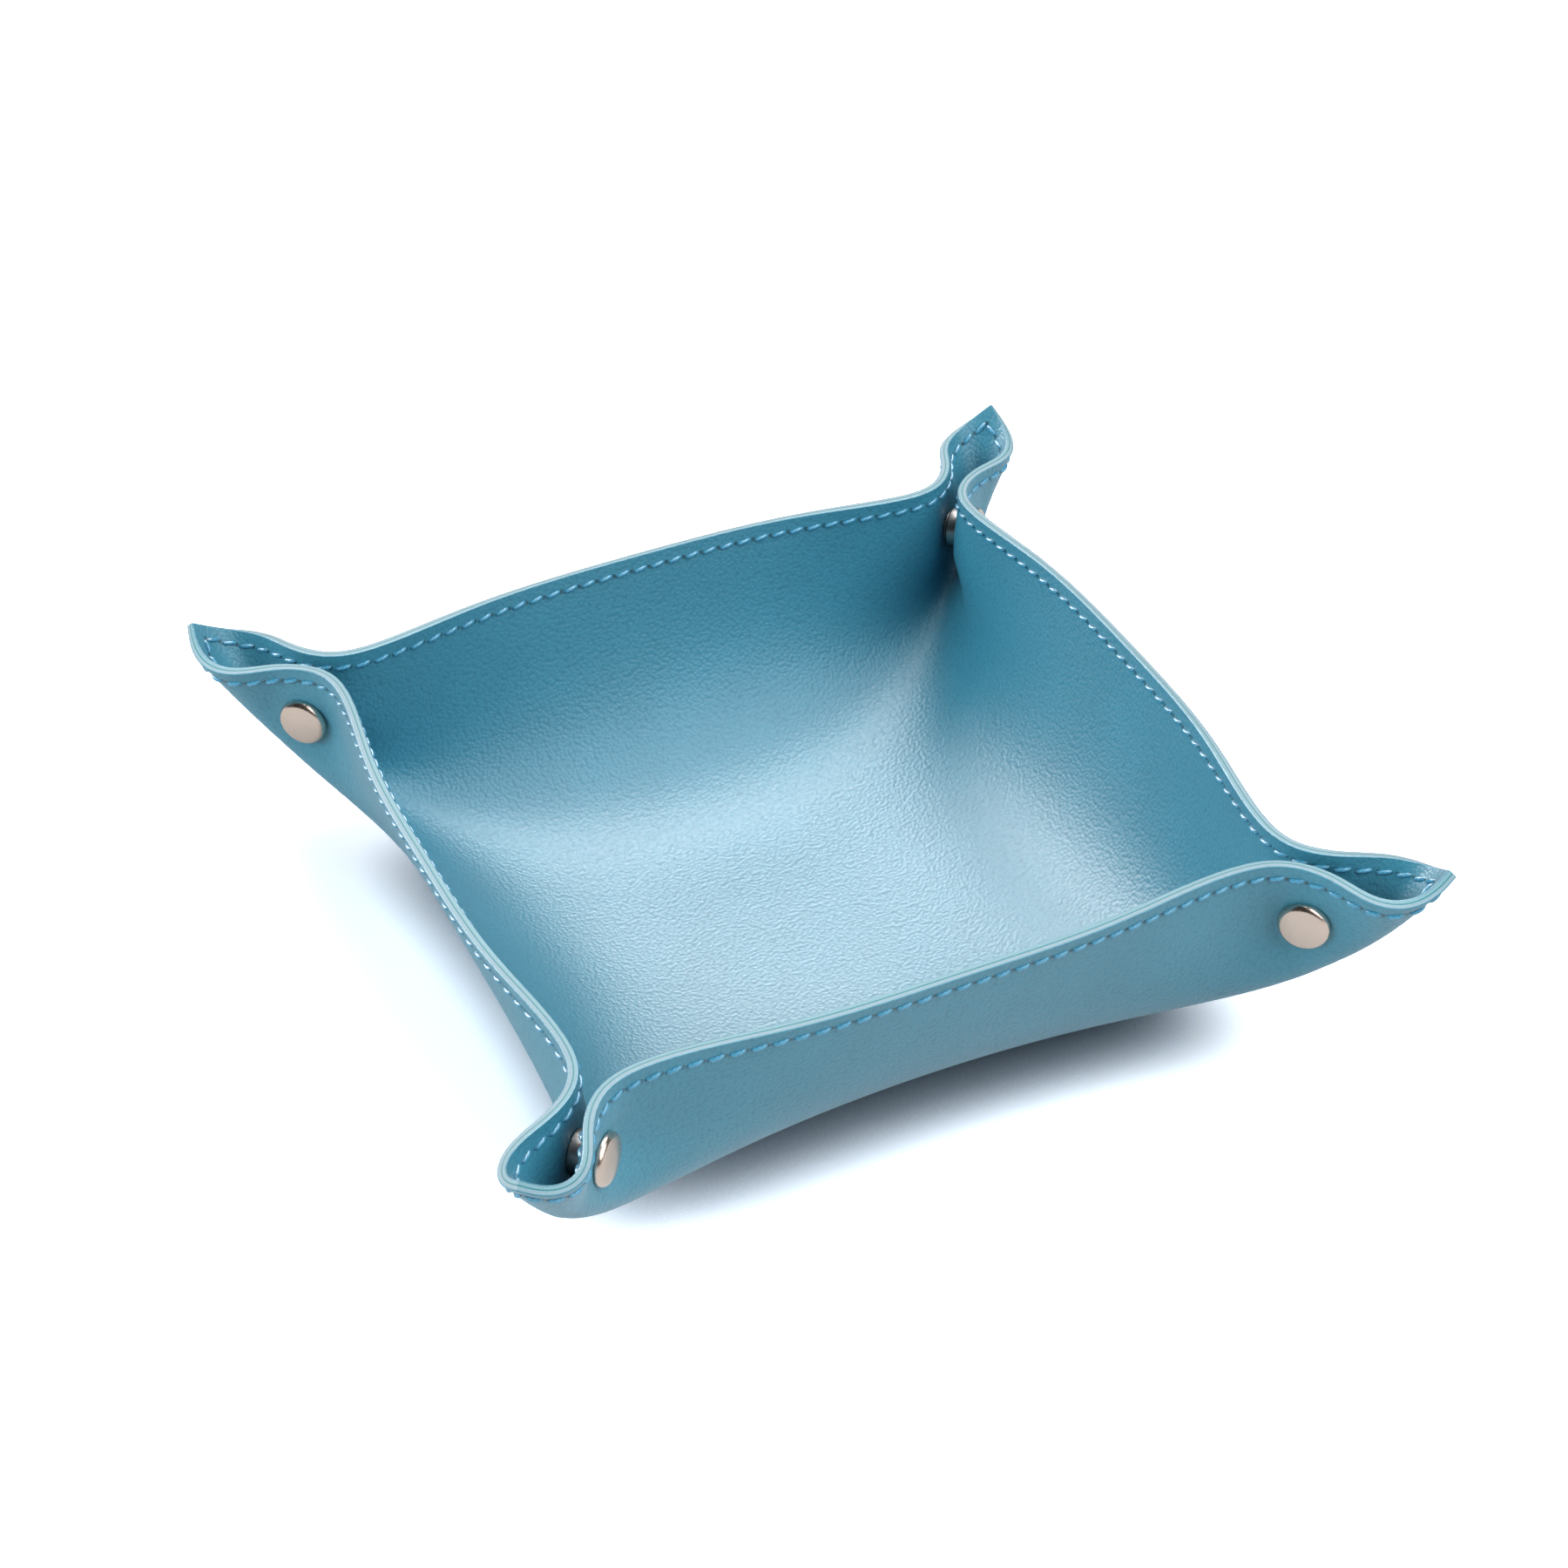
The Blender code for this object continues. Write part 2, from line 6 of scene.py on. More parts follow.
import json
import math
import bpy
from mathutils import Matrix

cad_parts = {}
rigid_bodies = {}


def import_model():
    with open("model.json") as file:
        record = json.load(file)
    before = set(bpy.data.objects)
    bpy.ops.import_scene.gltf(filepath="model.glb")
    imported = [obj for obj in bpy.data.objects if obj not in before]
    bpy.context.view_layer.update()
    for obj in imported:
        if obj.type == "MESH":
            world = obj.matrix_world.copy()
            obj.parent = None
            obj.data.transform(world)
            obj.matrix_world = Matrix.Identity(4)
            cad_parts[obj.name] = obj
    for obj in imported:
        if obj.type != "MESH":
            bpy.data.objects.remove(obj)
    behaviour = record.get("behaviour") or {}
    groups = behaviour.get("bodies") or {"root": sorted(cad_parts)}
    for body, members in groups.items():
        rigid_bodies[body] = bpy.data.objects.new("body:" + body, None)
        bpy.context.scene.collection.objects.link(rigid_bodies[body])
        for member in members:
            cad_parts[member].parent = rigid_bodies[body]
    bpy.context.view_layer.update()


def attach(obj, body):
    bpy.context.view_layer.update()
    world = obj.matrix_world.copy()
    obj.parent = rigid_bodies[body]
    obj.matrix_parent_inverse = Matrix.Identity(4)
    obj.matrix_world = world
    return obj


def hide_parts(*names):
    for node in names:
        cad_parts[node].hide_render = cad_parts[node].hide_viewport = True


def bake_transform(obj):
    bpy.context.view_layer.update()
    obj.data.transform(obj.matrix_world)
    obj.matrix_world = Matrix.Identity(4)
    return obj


bl_info = {
    "name": "Leather Snap Tray",
    "version": (1, 0, 0),
    "blender": (4, 5, 0),
    "location": "3D View > Sidebar > Snap Tray",
    "description": "Dresses a pinched leather tray with its leathers, seam and snap fasteners",
    "category": "Object",
}

import bmesh
import bpy
import numpy as np
from bpy.props import FloatProperty, FloatVectorProperty, IntProperty, PointerProperty
from mathutils import Matrix, Vector

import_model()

MM = 0.001
DIAGONAL = math.sqrt(0.5)
TINY = 1e-9

# Corners of the tray and the signs of their X and Y; walls by the axis that they face
CORNERS = {"front_left": (-1, -1), "front_right": (1, -1), "back_right": (1, 1), "back_left": (-1, 1)}
WALL_NAMES = {(1, 0): "right", (-1, 0): "left", (0, 1): "back", (0, -1): "front"}

# The formed tray, as shares of the sheet's half side
FLOOR_RADIUS_SHARE = 0.36
TIP_SHARES = (0.897, 0.486)
TIP_RISE = math.radians(52.5)
SNAP_TILT = math.radians(87)
SNAP_REACH_SHARE = 0.867
SNAP_DROP_SHARE = 0.96

# Half the space between the two sides of a pinch, and the flat leather round a snap's cap
PINCH_HALF_GAP = 2.05 * MM
SNAP_FLAT_MARGIN = 2 * MM
SNAP_BLEND_WIDTH = 8 * MM

# Top edge of one half wall, from its middle to the pinch: place along the flat edge and along the formed edge
# as shares of the pinch's, how far out and how high, and how the leather arrives there (out, along, up)
WALL_RIM_SHARES = (
    (0.0000, 0.0000, 0.735, 0.478, (0.225, 0.00, 0.975)),
    (0.5072, 0.5116, 0.721, 0.476, (0.110, 0.02, 0.990)),
    (0.8406, 0.8497, 0.690, 0.467, (0.050, 0.02, 1.000)),
)
PINCH_PLACE_SHARE = 0.02
PINCH_INWARD_SHARE = 0.0127
PINCH_HEIGHT_SHARE = 0.455
PINCH_LEAN_SHARES = (0.042, 0.0, 1.0)

# Top edge of one side of an ear, from the pinch to the tip: place along the flat edge and along the ear as
# shares of the way to the tip, how far off the fold and how high, and how the leather arrives there
EAR_RIM_SHARES = (
    (0.3548, 0.3885, 0.0385, 0.447, (0.205, -0.15, 0.970)),
    (0.6774, 0.7454, 0.0415, 0.448, (0.480, -0.33, 0.810)),
)


def length_setting(name, description, default, least=0.0):
    """Property of a length, with its default and least value in millimetres."""
    return FloatProperty(name=name, description=description, default=default * MM, min=least * MM,
                         unit="LENGTH")


def angle_setting(name, description, default):
    """Property of an angle, with its default in degrees."""
    return FloatProperty(name=name, description=description, default=math.radians(default), subtype="ANGLE")


def light_setting(name, description, default):
    return FloatProperty(name=name, description=description, default=default, min=0)


def colour_setting(name, description, default):
    return FloatVectorProperty(name=name, description=description, default=default, subtype="COLOR",
                               min=0, max=1)


class TraySizes(bpy.types.PropertyGroup):
    """Sizes of the sheet, its seam and its snaps."""

    sheet_side: length_setting("Sheet side", "Side of the flat leather square", 200, 50)
    outer_thickness: length_setting("Outer leather", "Thickness with half the glue", 1.05, 0.2)
    lining_thickness: length_setting("Lining", "Thickness with half the glue", 0.95, 0.2)
    edge_rounding: length_setting("Edge rounding", "Radius at which a face turns into the cut edge", 0.28)
    glue_line: length_setting("Glue line", "Width of the dyed line between the leathers, on each side", 0.13)
    stitch_from_edge: length_setting("Seam from edge", "Distance of the seam from the cut edge", 2.9, 0.5)
    stitch_length: length_setting("Stitch length", "Length of one stitch that shows", 3.5, 0.5)
    stitches_per_side: IntProperty(name="Stitches per side", default=51, min=1,
                                   description="Stitches along one side of the square")
    thread_radius: length_setting("Thread radius", "Radius of the seam's thread", 0.44, 0.05)
    stitch_slant: angle_setting("Stitch slant", "Turn of each stitch off the seam's line", 12)
    seam_groove: length_setting("Seam groove", "How deep the thread is pulled into the leather", 0.2)
    snap_from_corner: length_setting("Snap from corner",
                                     "Distance of a snap's hole from the corner, along the flat edge", 29, 5)
    snap_from_edge: length_setting("Snap from edge", "Distance of a snap's hole from the edge", 12.5, 5)
    snap_grip: length_setting("Snap grip", "Distance between the linings at a closed snap", 3.4, 1)
    cap_radius: length_setting("Cap radius", "Radius of a snap's cap", 5.0, 1)
    cap_height: length_setting("Cap height", "Height of a snap's cap above the leather", 2.0, 0.5)


class TrayColours(bpy.types.PropertyGroup):
    """Colours of the leathers, the seam and the metal."""

    outer: colour_setting("Outer leather", "Dye of the outer leather", (0.042, 0.245, 0.350))
    lining: colour_setting("Lining", "Dye of the lining", (0.042, 0.245, 0.352))
    outer_edge: colour_setting("Outer cut edge", "Undyed core of the outer leather", (0.27, 0.43, 0.51))
    lining_edge: colour_setting("Lining cut edge", "Undyed core of the lining", (0.22, 0.43, 0.50))
    glue: colour_setting("Glue line", "Line between the leathers", (0.03, 0.24, 0.29))
    thread: colour_setting("Thread", "Dye of the thread", (0.07, 0.315, 0.49))
    nickel: colour_setting("Cap", "Plating of the caps", (0.72, 0.60, 0.52))
    # Painted shade: the works' colour is their plating, painted darker for the shade inside the pinched ears
    steel_and_pocket_shade: colour_setting("Works", "Plating of the socket, stud and posts", (0.30, 0.29, 0.28))


class StudioSettings(bpy.types.PropertyGroup):
    """Light of the plain studio and its camera."""

    fill: light_setting("Fill", "Light from all round, 1 lights a surface fully", 0.05)
    strip: light_setting("Gloss", "Brightness of the lamps that only glossy surfaces show", 1.2)
    front_light: light_setting("Front softbox", "Light from above the front, 1 lights a surface fully", 0.90)
    left_light: light_setting("Left softbox", "Light of the low softbox at the left", 0.74)
    lens: FloatProperty(name="Lens", description="Focal length on a 36 mm wide sensor", default=83.6, min=10)
    azimuth: angle_setting("Camera azimuth", "Turn of the camera round the tray", -23.35)
    elevation: angle_setting("Camera elevation", "Angle of the camera above the floor", 37.44)
    roll: angle_setting("Camera roll", "Turn of the camera about its view", -2.21)
    distance: length_setting("Camera distance", "Distance from the camera to its target", 726, 100)
    target: FloatVectorProperty(name="Camera target", description="Point that the camera looks at",
                                default=(9.0 * MM, 23.1 * MM, 21.0 * MM), subtype="TRANSLATION")


def sizes():
    return bpy.context.scene.tray_sizes


def colours():
    return bpy.context.scene.tray_colours


# Shape of the sheet

def hermite(t, start, leave, end, arrive):
    """Cubic from start to end that leaves and arrives with the given vectors."""
    blend = 3 * t ** 2 - 2 * t ** 3
    return start + (end - start) * blend + leave * (t - 2 * t ** 2 + t ** 3) + arrive * (t ** 3 - t ** 2)


def hermite_slope(t, start, leave, end, arrive):
    blend = 6 * t - 6 * t ** 2
    return (end - start) * blend + leave * (1 - 4 * t + 3 * t ** 2) + arrive * (3 * t ** 2 - 2 * t)


def smooth_step(t):
    t = np.clip(t, 0, 1)
    return t * t * (3 - 2 * t)


def clamped_spline(places, values, start_slope, end_slope):
    """Cubic spline through the values, with the slope given at both ends. It takes an array of places."""
    steps = np.diff(places)
    rises = np.diff(values, axis=0) / steps[:, None]
    count = len(places)
    matrix = np.eye(count)
    right = np.zeros_like(values)
    right[0] = start_slope
    right[-1] = end_slope
    for i in range(1, count - 1):
        matrix[i, i - 1] = steps[i]
        matrix[i, i] = 2 * (steps[i - 1] + steps[i])
        matrix[i, i + 1] = steps[i - 1]
        right[i] = 3 * (steps[i] * rises[i - 1] + steps[i - 1] * rises[i])
    slopes = np.linalg.solve(matrix, right)

    def at(place):
        i = np.clip(np.searchsorted(places, place) - 1, 0, count - 2)
        t = ((place - places[i]) / steps[i])[..., None]
        step = steps[i][..., None]
        return hermite(t, values[i], slopes[i] * step, values[i + 1], slopes[i + 1] * step)

    return at


class FormedSheet:
    """Where points of the flat sheet lie on the snapped tray, in the glue line between its leathers."""

    def __init__(self, s):
        self.half = s.sheet_side / 2
        self.lift = s.outer_thickness
        self.tip = np.array((TIP_SHARES[0], TIP_SHARES[0], TIP_SHARES[1]))
        along = math.cos(TIP_RISE) / 2
        rise = math.sin(TIP_RISE) * DIAGONAL
        edge_at_tip = np.array((along - 0.5, along + 0.5, rise))
        lean_at_tip = np.array((along + 0.5, along - 0.5, rise))
        from_edge = s.snap_from_edge / self.half
        from_corner = s.snap_from_corner / self.half
        self.snap_along = TIP_SHARES[0] / DIAGONAL - SNAP_REACH_SHARE * from_corner
        self.snap_out = (s.snap_grip / 2 + s.lining_thickness) / self.half
        self.pinch_place = 1 - from_corner - PINCH_PLACE_SHARE
        pinch_along = self.snap_along * DIAGONAL - PINCH_INWARD_SHARE
        off_fold = PINCH_HALF_GAP / self.half * DIAGONAL
        pinch = (pinch_along + off_fold, pinch_along - off_fold, PINCH_HEIGHT_SHARE)
        rows = [(place * self.pinch_place, (out, beside * pinch[1], up), lean)
                for place, beside, out, up, lean in WALL_RIM_SHARES]
        rows.append((self.pinch_place, pinch, PINCH_LEAN_SHARES))
        for place, reach, off, up, lean in EAR_RIM_SHARES:
            middle = pinch_along + reach * (TIP_SHARES[0] - pinch_along)
            place = self.pinch_place + place * (1 - self.pinch_place)
            rows.append((place, (middle + off, middle - off, up), lean))
        rows.append((1, self.tip, lean_at_tip))
        places, points, leans = (np.array([row[i] for row in rows]) for i in range(3))
        lean_slope = (leans[-1] - leans[-2]) / (places[-1] - places[-2])
        self.rim = clamped_spline(places, points, np.array((0.0, 1.0, 0.0)), edge_at_tip)
        self.lean = clamped_spline(places, leans, np.zeros(3), lean_slope)
        self.floor_corner = FLOOR_RADIUS_SHARE * DIAGONAL
        self.snap_flat = np.array((1 - from_edge, 1 - from_corner))
        self.snap_height = self.rim(np.array(1 - from_corner))[2] - SNAP_DROP_SHARE * from_edge
        self.flat_radius = (s.cap_radius + SNAP_FLAT_MARGIN) / self.half

    def ridge(self, place):
        """Point and slope of the fold line that runs from the floor to the ear's tip."""
        length = 1 - self.floor_corner
        t = np.clip((place - self.floor_corner) / length, 0, 1)[..., None]
        start = np.array((self.floor_corner, self.floor_corner, 0.0))
        leave = np.array((1.0, 1.0, 0.0)) * length
        across = math.cos(TIP_RISE)
        arrive = np.array((across, across, math.sin(TIP_RISE) / DIAGONAL)) * length
        return (hermite(t, start, leave, self.tip, arrive),
                hermite_slope(t, start, leave, self.tip, arrive) / length)

    def snap_frame(self):
        """Centre of the flat patch at a snap, and its directions up the wall and along it."""
        centre = np.array(((self.snap_along + self.snap_out) * DIAGONAL,
                           (self.snap_along - self.snap_out) * DIAGONAL, self.snap_height))
        cosine, sine = math.cos(SNAP_TILT), math.sin(SNAP_TILT)
        up = np.array((cosine * DIAGONAL, cosine * DIAGONAL, sine))
        side = np.array((sine * DIAGONAL, sine * DIAGONAL, -cosine))
        return centre, up, side

    def eighth(self, u, v):
        """Formed places of points of the eighth of the sheet where u is at least v and v is at least 0."""
        by_floor = v < self.floor_corner
        rib_start = np.where(by_floor, np.sqrt(np.maximum(FLOOR_RADIUS_SHARE ** 2 - v ** 2, 0)), v)
        fold, slope = self.ridge(v)
        on_floor = np.stack((rib_start, v, np.zeros_like(v)), -1)
        start = np.where(by_floor[..., None], on_floor, fold)
        off_fold = slope / 2 + np.array((0.5, -0.5, 0.0))
        leave = np.where(by_floor[..., None], np.array((1.0, 0.0, 0.0)), off_fold)
        length = np.maximum(1 - rib_start, TINY)[..., None]
        t = (u - rib_start)[..., None] / length
        point = hermite(t, start, leave * length, self.rim(v), self.lean(v) * length)
        flat = np.stack((u, v, np.zeros_like(v)), -1)
        point = np.where(t > 0, point, np.where(by_floor[..., None], flat, start))
        du, dv = u - self.snap_flat[0], v - self.snap_flat[1]
        away = (du ** 4 + dv ** 4) ** 0.25
        weight = smooth_step(1 - (away - self.flat_radius) * self.half / SNAP_BLEND_WIDTH)[..., None]
        centre, up, side = self.snap_frame()
        patch = centre + du[..., None] * up + dv[..., None] * side
        return point + (patch - point) * weight

    def middle(self, x, y):
        """Formed places, in metres, of the flat points (x, y)."""
        u, v = np.abs(x) / self.half, np.abs(y) / self.half
        swapped = v > u
        formed = self.eighth(np.maximum(u, v), np.minimum(u, v))
        formed = np.where(swapped[..., None], formed[..., [1, 0, 2]], formed) * self.half
        return np.stack((np.copysign(formed[..., 0], x), np.copysign(formed[..., 1], y),
                         formed[..., 2] + self.lift), -1)


# How the leather settles: units are millimetres, and the sheet's stretch stiffness is 1
SETTLE_LINES = 41
SETTLE_ROUNDS = 500
SETTLE_MEMORY = 20
LEATHER_WEIGHT = 2e-5
RIM_HOLD = 0.02
TABLE_HOLD = 0.2
FOLD_HOLD = 0.2
FOLD_ROUNDNESS = 0.6
SLANTED_STIFFNESS = 0.5
FIRST_STEP = 0.2
LEAST_FALL = 1e-4
SHORTEST_STEP = 1e-8
LEAST_TURN = 1e-12


def settle(energy, points):
    """Points of least energy near the given ones, by limited-memory quasi-Newton steps."""
    value, slope = energy(points)
    moves, turns = [], []
    for _ in range(SETTLE_ROUNDS):
        step = slope.copy()
        shares = []
        for move, turn in zip(reversed(moves), reversed(turns)):
            share = (move @ step) / (turn @ move)
            shares.append(share)
            step -= share * turn
        if moves:
            step *= (moves[-1] @ turns[-1]) / (turns[-1] @ turns[-1])
        else:
            step *= FIRST_STEP / np.abs(slope).max()
        for move, turn, share in zip(moves, turns, reversed(shares)):
            step += move * (share - (turn @ step) / (turn @ move))
        fall = step @ slope
        length = 1 / max(np.abs(step).max(), 1)
        while True:
            new_points = points - length * step
            new_value, new_slope = energy(new_points)
            if new_value <= value - LEAST_FALL * length * fall or length < SHORTEST_STEP:
                break
            length /= 2
        move, turn = new_points - points, new_slope - slope
        if move @ turn > LEAST_TURN:
            moves, turns = (moves + [move])[-SETTLE_MEMORY:], (turns + [turn])[-SETTLE_MEMORY:]
        points, value, slope = new_points, new_value, new_slope
    return points


class SettledSheet:
    """The formed sheet after its leather has settled into even bends. Rim and snaps stay where they were.

    One quarter of the sheet is settled, the same on both sides of its diagonal, and mirrored to the others.
    """

    def __init__(self, s):
        self.formed = FormedSheet(s)
        self.half = self.formed.half
        nodes = np.linspace(0, self.half, SETTLE_LINES)
        self.step = self.half / (SETTLE_LINES - 1) / MM
        self.bending = ((s.outer_thickness + s.lining_thickness) / MM) ** 2 / 12
        x, y = np.meshgrid(nodes, nodes, indexing="ij")
        start = self.formed.middle(x, y) / MM
        self.start = (start + start.swapaxes(0, 1)[..., [1, 0, 2]]) / 2
        self.table = s.outer_thickness / MM
        self.off_fold = np.sign(x - y)
        self.fold_gap = np.minimum(s.lining_thickness / MM, FOLD_ROUNDNESS * DIAGONAL * np.abs(x - y) / MM)
        patch_x, patch_y = self.formed.snap_flat * self.half
        flat_radius = self.formed.flat_radius * self.half
        self.held = np.hypot(x - patch_x, y - patch_y) < flat_radius
        self.held |= self.held.T
        settled = settle(self.energy, self.start.ravel()).reshape(self.start.shape) * MM
        right = np.concatenate((settled[:0:-1] * (-1, 1, 1), settled))
        self.grid = np.concatenate((right[:, :0:-1] * (1, -1, 1), right), axis=1)
        self.bend_rows = self.second_slopes(len(self.grid))

    def energy(self, points):
        """Energy of a settling quarter and its slope."""
        points = points.reshape(self.start.shape)
        slope = np.zeros_like(points)
        area = self.step ** 2
        pairs = ((np.s_[:-1], np.s_[1:], 1, 1), (np.s_[:, :-1], np.s_[:, 1:], 1, 1),
                 (np.s_[:-1, :-1], np.s_[1:, 1:], math.sqrt(2), SLANTED_STIFFNESS),
                 (np.s_[1:, :-1], np.s_[:-1, 1:], math.sqrt(2), SLANTED_STIFFNESS))
        total = 0
        for first, second, reach, stiffness in pairs:
            apart = points[second] - points[first]
            length = np.sqrt((apart ** 2).sum(-1))
            strain = length / (reach * self.step) - 1
            total += stiffness * area * (strain ** 2).sum() / 2
            pull = (stiffness * area * strain / (reach * self.step * length))[..., None] * apart
            slope[first] -= pull
            slope[second] += pull
        for across in (False, True):
            lines, line_slopes = (a.swapaxes(0, 1) if across else a for a in (points, slope))
            mirror = np.array((1, -1, 1) if across else (-1, 1, 1))
            padded = np.concatenate((lines[1:2] * mirror, lines))
            bend = padded[:-2] - 2 * padded[1:-1] + padded[2:]
            total += self.bending / area * (bend ** 2).sum() / 2
            push = np.zeros_like(padded)
            push[:-2] += bend
            push[1:-1] -= 2 * bend
            push[2:] += bend
            line_slopes += self.bending / area * push[1:]
            line_slopes[1] += self.bending / area * push[0] * mirror
        twist = points[1:, 1:] - points[1:, :-1] - points[:-1, 1:] + points[:-1, :-1]
        total += self.bending / area * (twist ** 2).sum()
        turn = 2 * self.bending / area * twist
        for corner, sign in ((np.s_[1:, 1:], 1), (np.s_[1:, :-1], -1),
                             (np.s_[:-1, 1:], -1), (np.s_[:-1, :-1], 1)):
            slope[corner] += sign * turn
        total += LEATHER_WEIGHT * area * points[..., 2].sum()
        slope[..., 2] += LEATHER_WEIGHT * area
        below = np.minimum(points[..., 2] - self.table, 0)
        total += TABLE_HOLD * (below ** 2).sum() / 2
        slope[..., 2] += TABLE_HOLD * below
        for edge in (np.s_[-1], np.s_[:, -1]):
            off = points[edge] - self.start[edge]
            total += RIM_HOLD * (off ** 2).sum() / 2
            slope[edge] += RIM_HOLD * off
        aside = (points[..., 0] - points[..., 1]) * DIAGONAL * self.off_fold
        crossed = np.minimum(aside - self.fold_gap, 0) * np.abs(self.off_fold)
        total += FOLD_HOLD * (crossed ** 2).sum() / 2
        slope[..., 0] += FOLD_HOLD * DIAGONAL * crossed * self.off_fold
        slope[..., 1] -= FOLD_HOLD * DIAGONAL * crossed * self.off_fold
        slope[self.held] = 0
        slope[0, :, 0] = 0
        slope[:, 0, 1] = 0
        return total, ((slope + slope.swapaxes(0, 1)[..., [1, 0, 2]]) / 2).ravel()

    @staticmethod
    def second_slopes(count):
        """Rows that turn a line's node values into its natural spline's second slopes, over a step of 1."""
        inner = np.arange(1, count - 1)
        matrix = np.eye(count)
        rises = np.zeros((count, count))
        for offset, share, rise in ((-1, 1, 1), (0, 4, -2), (1, 1, 1)):
            matrix[inner, inner + offset] = share
            rises[inner, inner + offset] = 6 * rise
        return np.linalg.solve(matrix, rises)

    def rows(self, places):
        """Weights of the nodes along one direction at each place."""
        count = len(self.grid)
        position = (places / self.half + 1) * (count - 1) / 2
        i = np.clip(np.floor(position).astype(int), 0, count - 2)
        t = (position - i)[:, None]
        unit = np.eye(count)
        return ((1 - t) * unit[i] + t * unit[i + 1]
                + (((1 - t) ** 3 - (1 - t)) * self.bend_rows[i] + (t ** 3 - t) * self.bend_rows[i + 1]) / 6)

    def middle(self, x, y):
        """Settled places, in metres, of the flat points (x, y), given in two rows."""
        return np.einsum("pi,pj,ijk->pk", self.rows(x), self.rows(y), self.grid, optimize=True)

    def crossings(self, lines):
        """Settled places where the mesh lines cross."""
        rows = self.rows(lines)
        return np.einsum("pi,qj,ijk->pqk", rows, rows, self.grid, optimize=True)


# Mesh lines, as distances from the cut edge: close together at the rounded edge and at the seam
EDGE_LINES = np.array((0, 0.04, 0.14, 0.28, 0.8, 1.4)) * MM
SEAM_LINES = np.array((-0.9, -0.45, 0, 0.45, 0.9, 1.6)) * MM
WALL_LINE_STEP = 1.2 * MM
WALL_LINES_END = 42 * MM
FLOOR_LINES = 22
GROOVE_WIDTH = 0.55 * MM


class SheetGrid:
    """The formed sheet on a grid of mesh lines: flat places, formed places and normals towards the inside."""

    def __init__(self, s):
        self.sheet = SettledSheet(s)
        half = self.sheet.half
        seam = s.stitch_from_edge + SEAM_LINES
        wall = np.arange(seam[-1] + WALL_LINE_STEP, WALL_LINES_END, WALL_LINE_STEP)
        floor = np.linspace(half, wall[-1], FLOOR_LINES, endpoint=False)[::-1]
        from_edge = np.concatenate((EDGE_LINES, seam, wall, floor))
        self.lines = np.concatenate((from_edge[:-1] - half, half - from_edge[::-1]))
        self.count = len(self.lines)
        self.x, self.y = np.meshgrid(self.lines, self.lines, indexing="ij")
        self.formed = self.sheet.crossings(self.lines)
        east = np.gradient(self.formed, self.lines, axis=0)
        north = np.gradient(self.formed, self.lines, axis=1)
        normal = np.cross(east, north)
        self.normal = normal / np.linalg.norm(normal, axis=-1, keepdims=True)
        self.from_edge = half - np.maximum(np.abs(self.x), np.abs(self.y))

    def depth(self, s, thickness):
        """Distance of a layer's face from the glue line: rounded off at the edge and drawn in at the seam."""
        radius = s.edge_rounding
        inset = np.clip(radius - self.from_edge, 0, radius)
        rounding = radius - np.sqrt(radius ** 2 - inset ** 2)
        off_seam = (self.from_edge - s.stitch_from_edge) / GROOVE_WIDTH
        beside_corner = smooth_step((self.sheet.half - np.minimum(np.abs(self.x), np.abs(self.y))) / MM)
        return thickness - rounding - s.seam_groove * np.exp(-off_seam ** 2) * beside_corner


class Region:
    """One eighth of the sheet, on one side of one corner's fold, with its frame."""

    def __init__(self, corner, axis):
        self.corner = corner
        self.signs = CORNERS[corner]
        self.axis = axis
        facing = (self.signs[0], 0) if axis == 0 else (0, self.signs[1])
        self.wall = WALL_NAMES[facing]
        self.body = ("socket_half_" if axis == 0 else "stud_half_") + corner

    def to_world(self, vector):
        """A vector of the eighth where x is above y and both are above 0, moved to this eighth."""
        x, y, z = vector if self.axis == 0 else (vector[1], vector[0], vector[2])
        return Vector((x * self.signs[0], y * self.signs[1], z))

    def holds(self, x, y):
        far = np.abs(x) > np.abs(y) if self.axis == 0 else np.abs(y) > np.abs(x)
        return (x * self.signs[0] > 0) & (y * self.signs[1] > 0) & far


def regions():
    return [Region(corner, axis) for corner in CORNERS for axis in (0, 1)]


# How far the still part of a fold reaches past the glue line, and how far from a snap the rises reach 1
FOLD_STILL = 1.5 * MM
SNAP_STILL = 5.5 * MM
WALL_MIDDLE_STILL = 5 * MM
WALL_FOOT_SHARES = (0.70, 0.42)
FOLD_SAMPLES = 400
PARTS = ("wall", "fold", "ear", "tip")


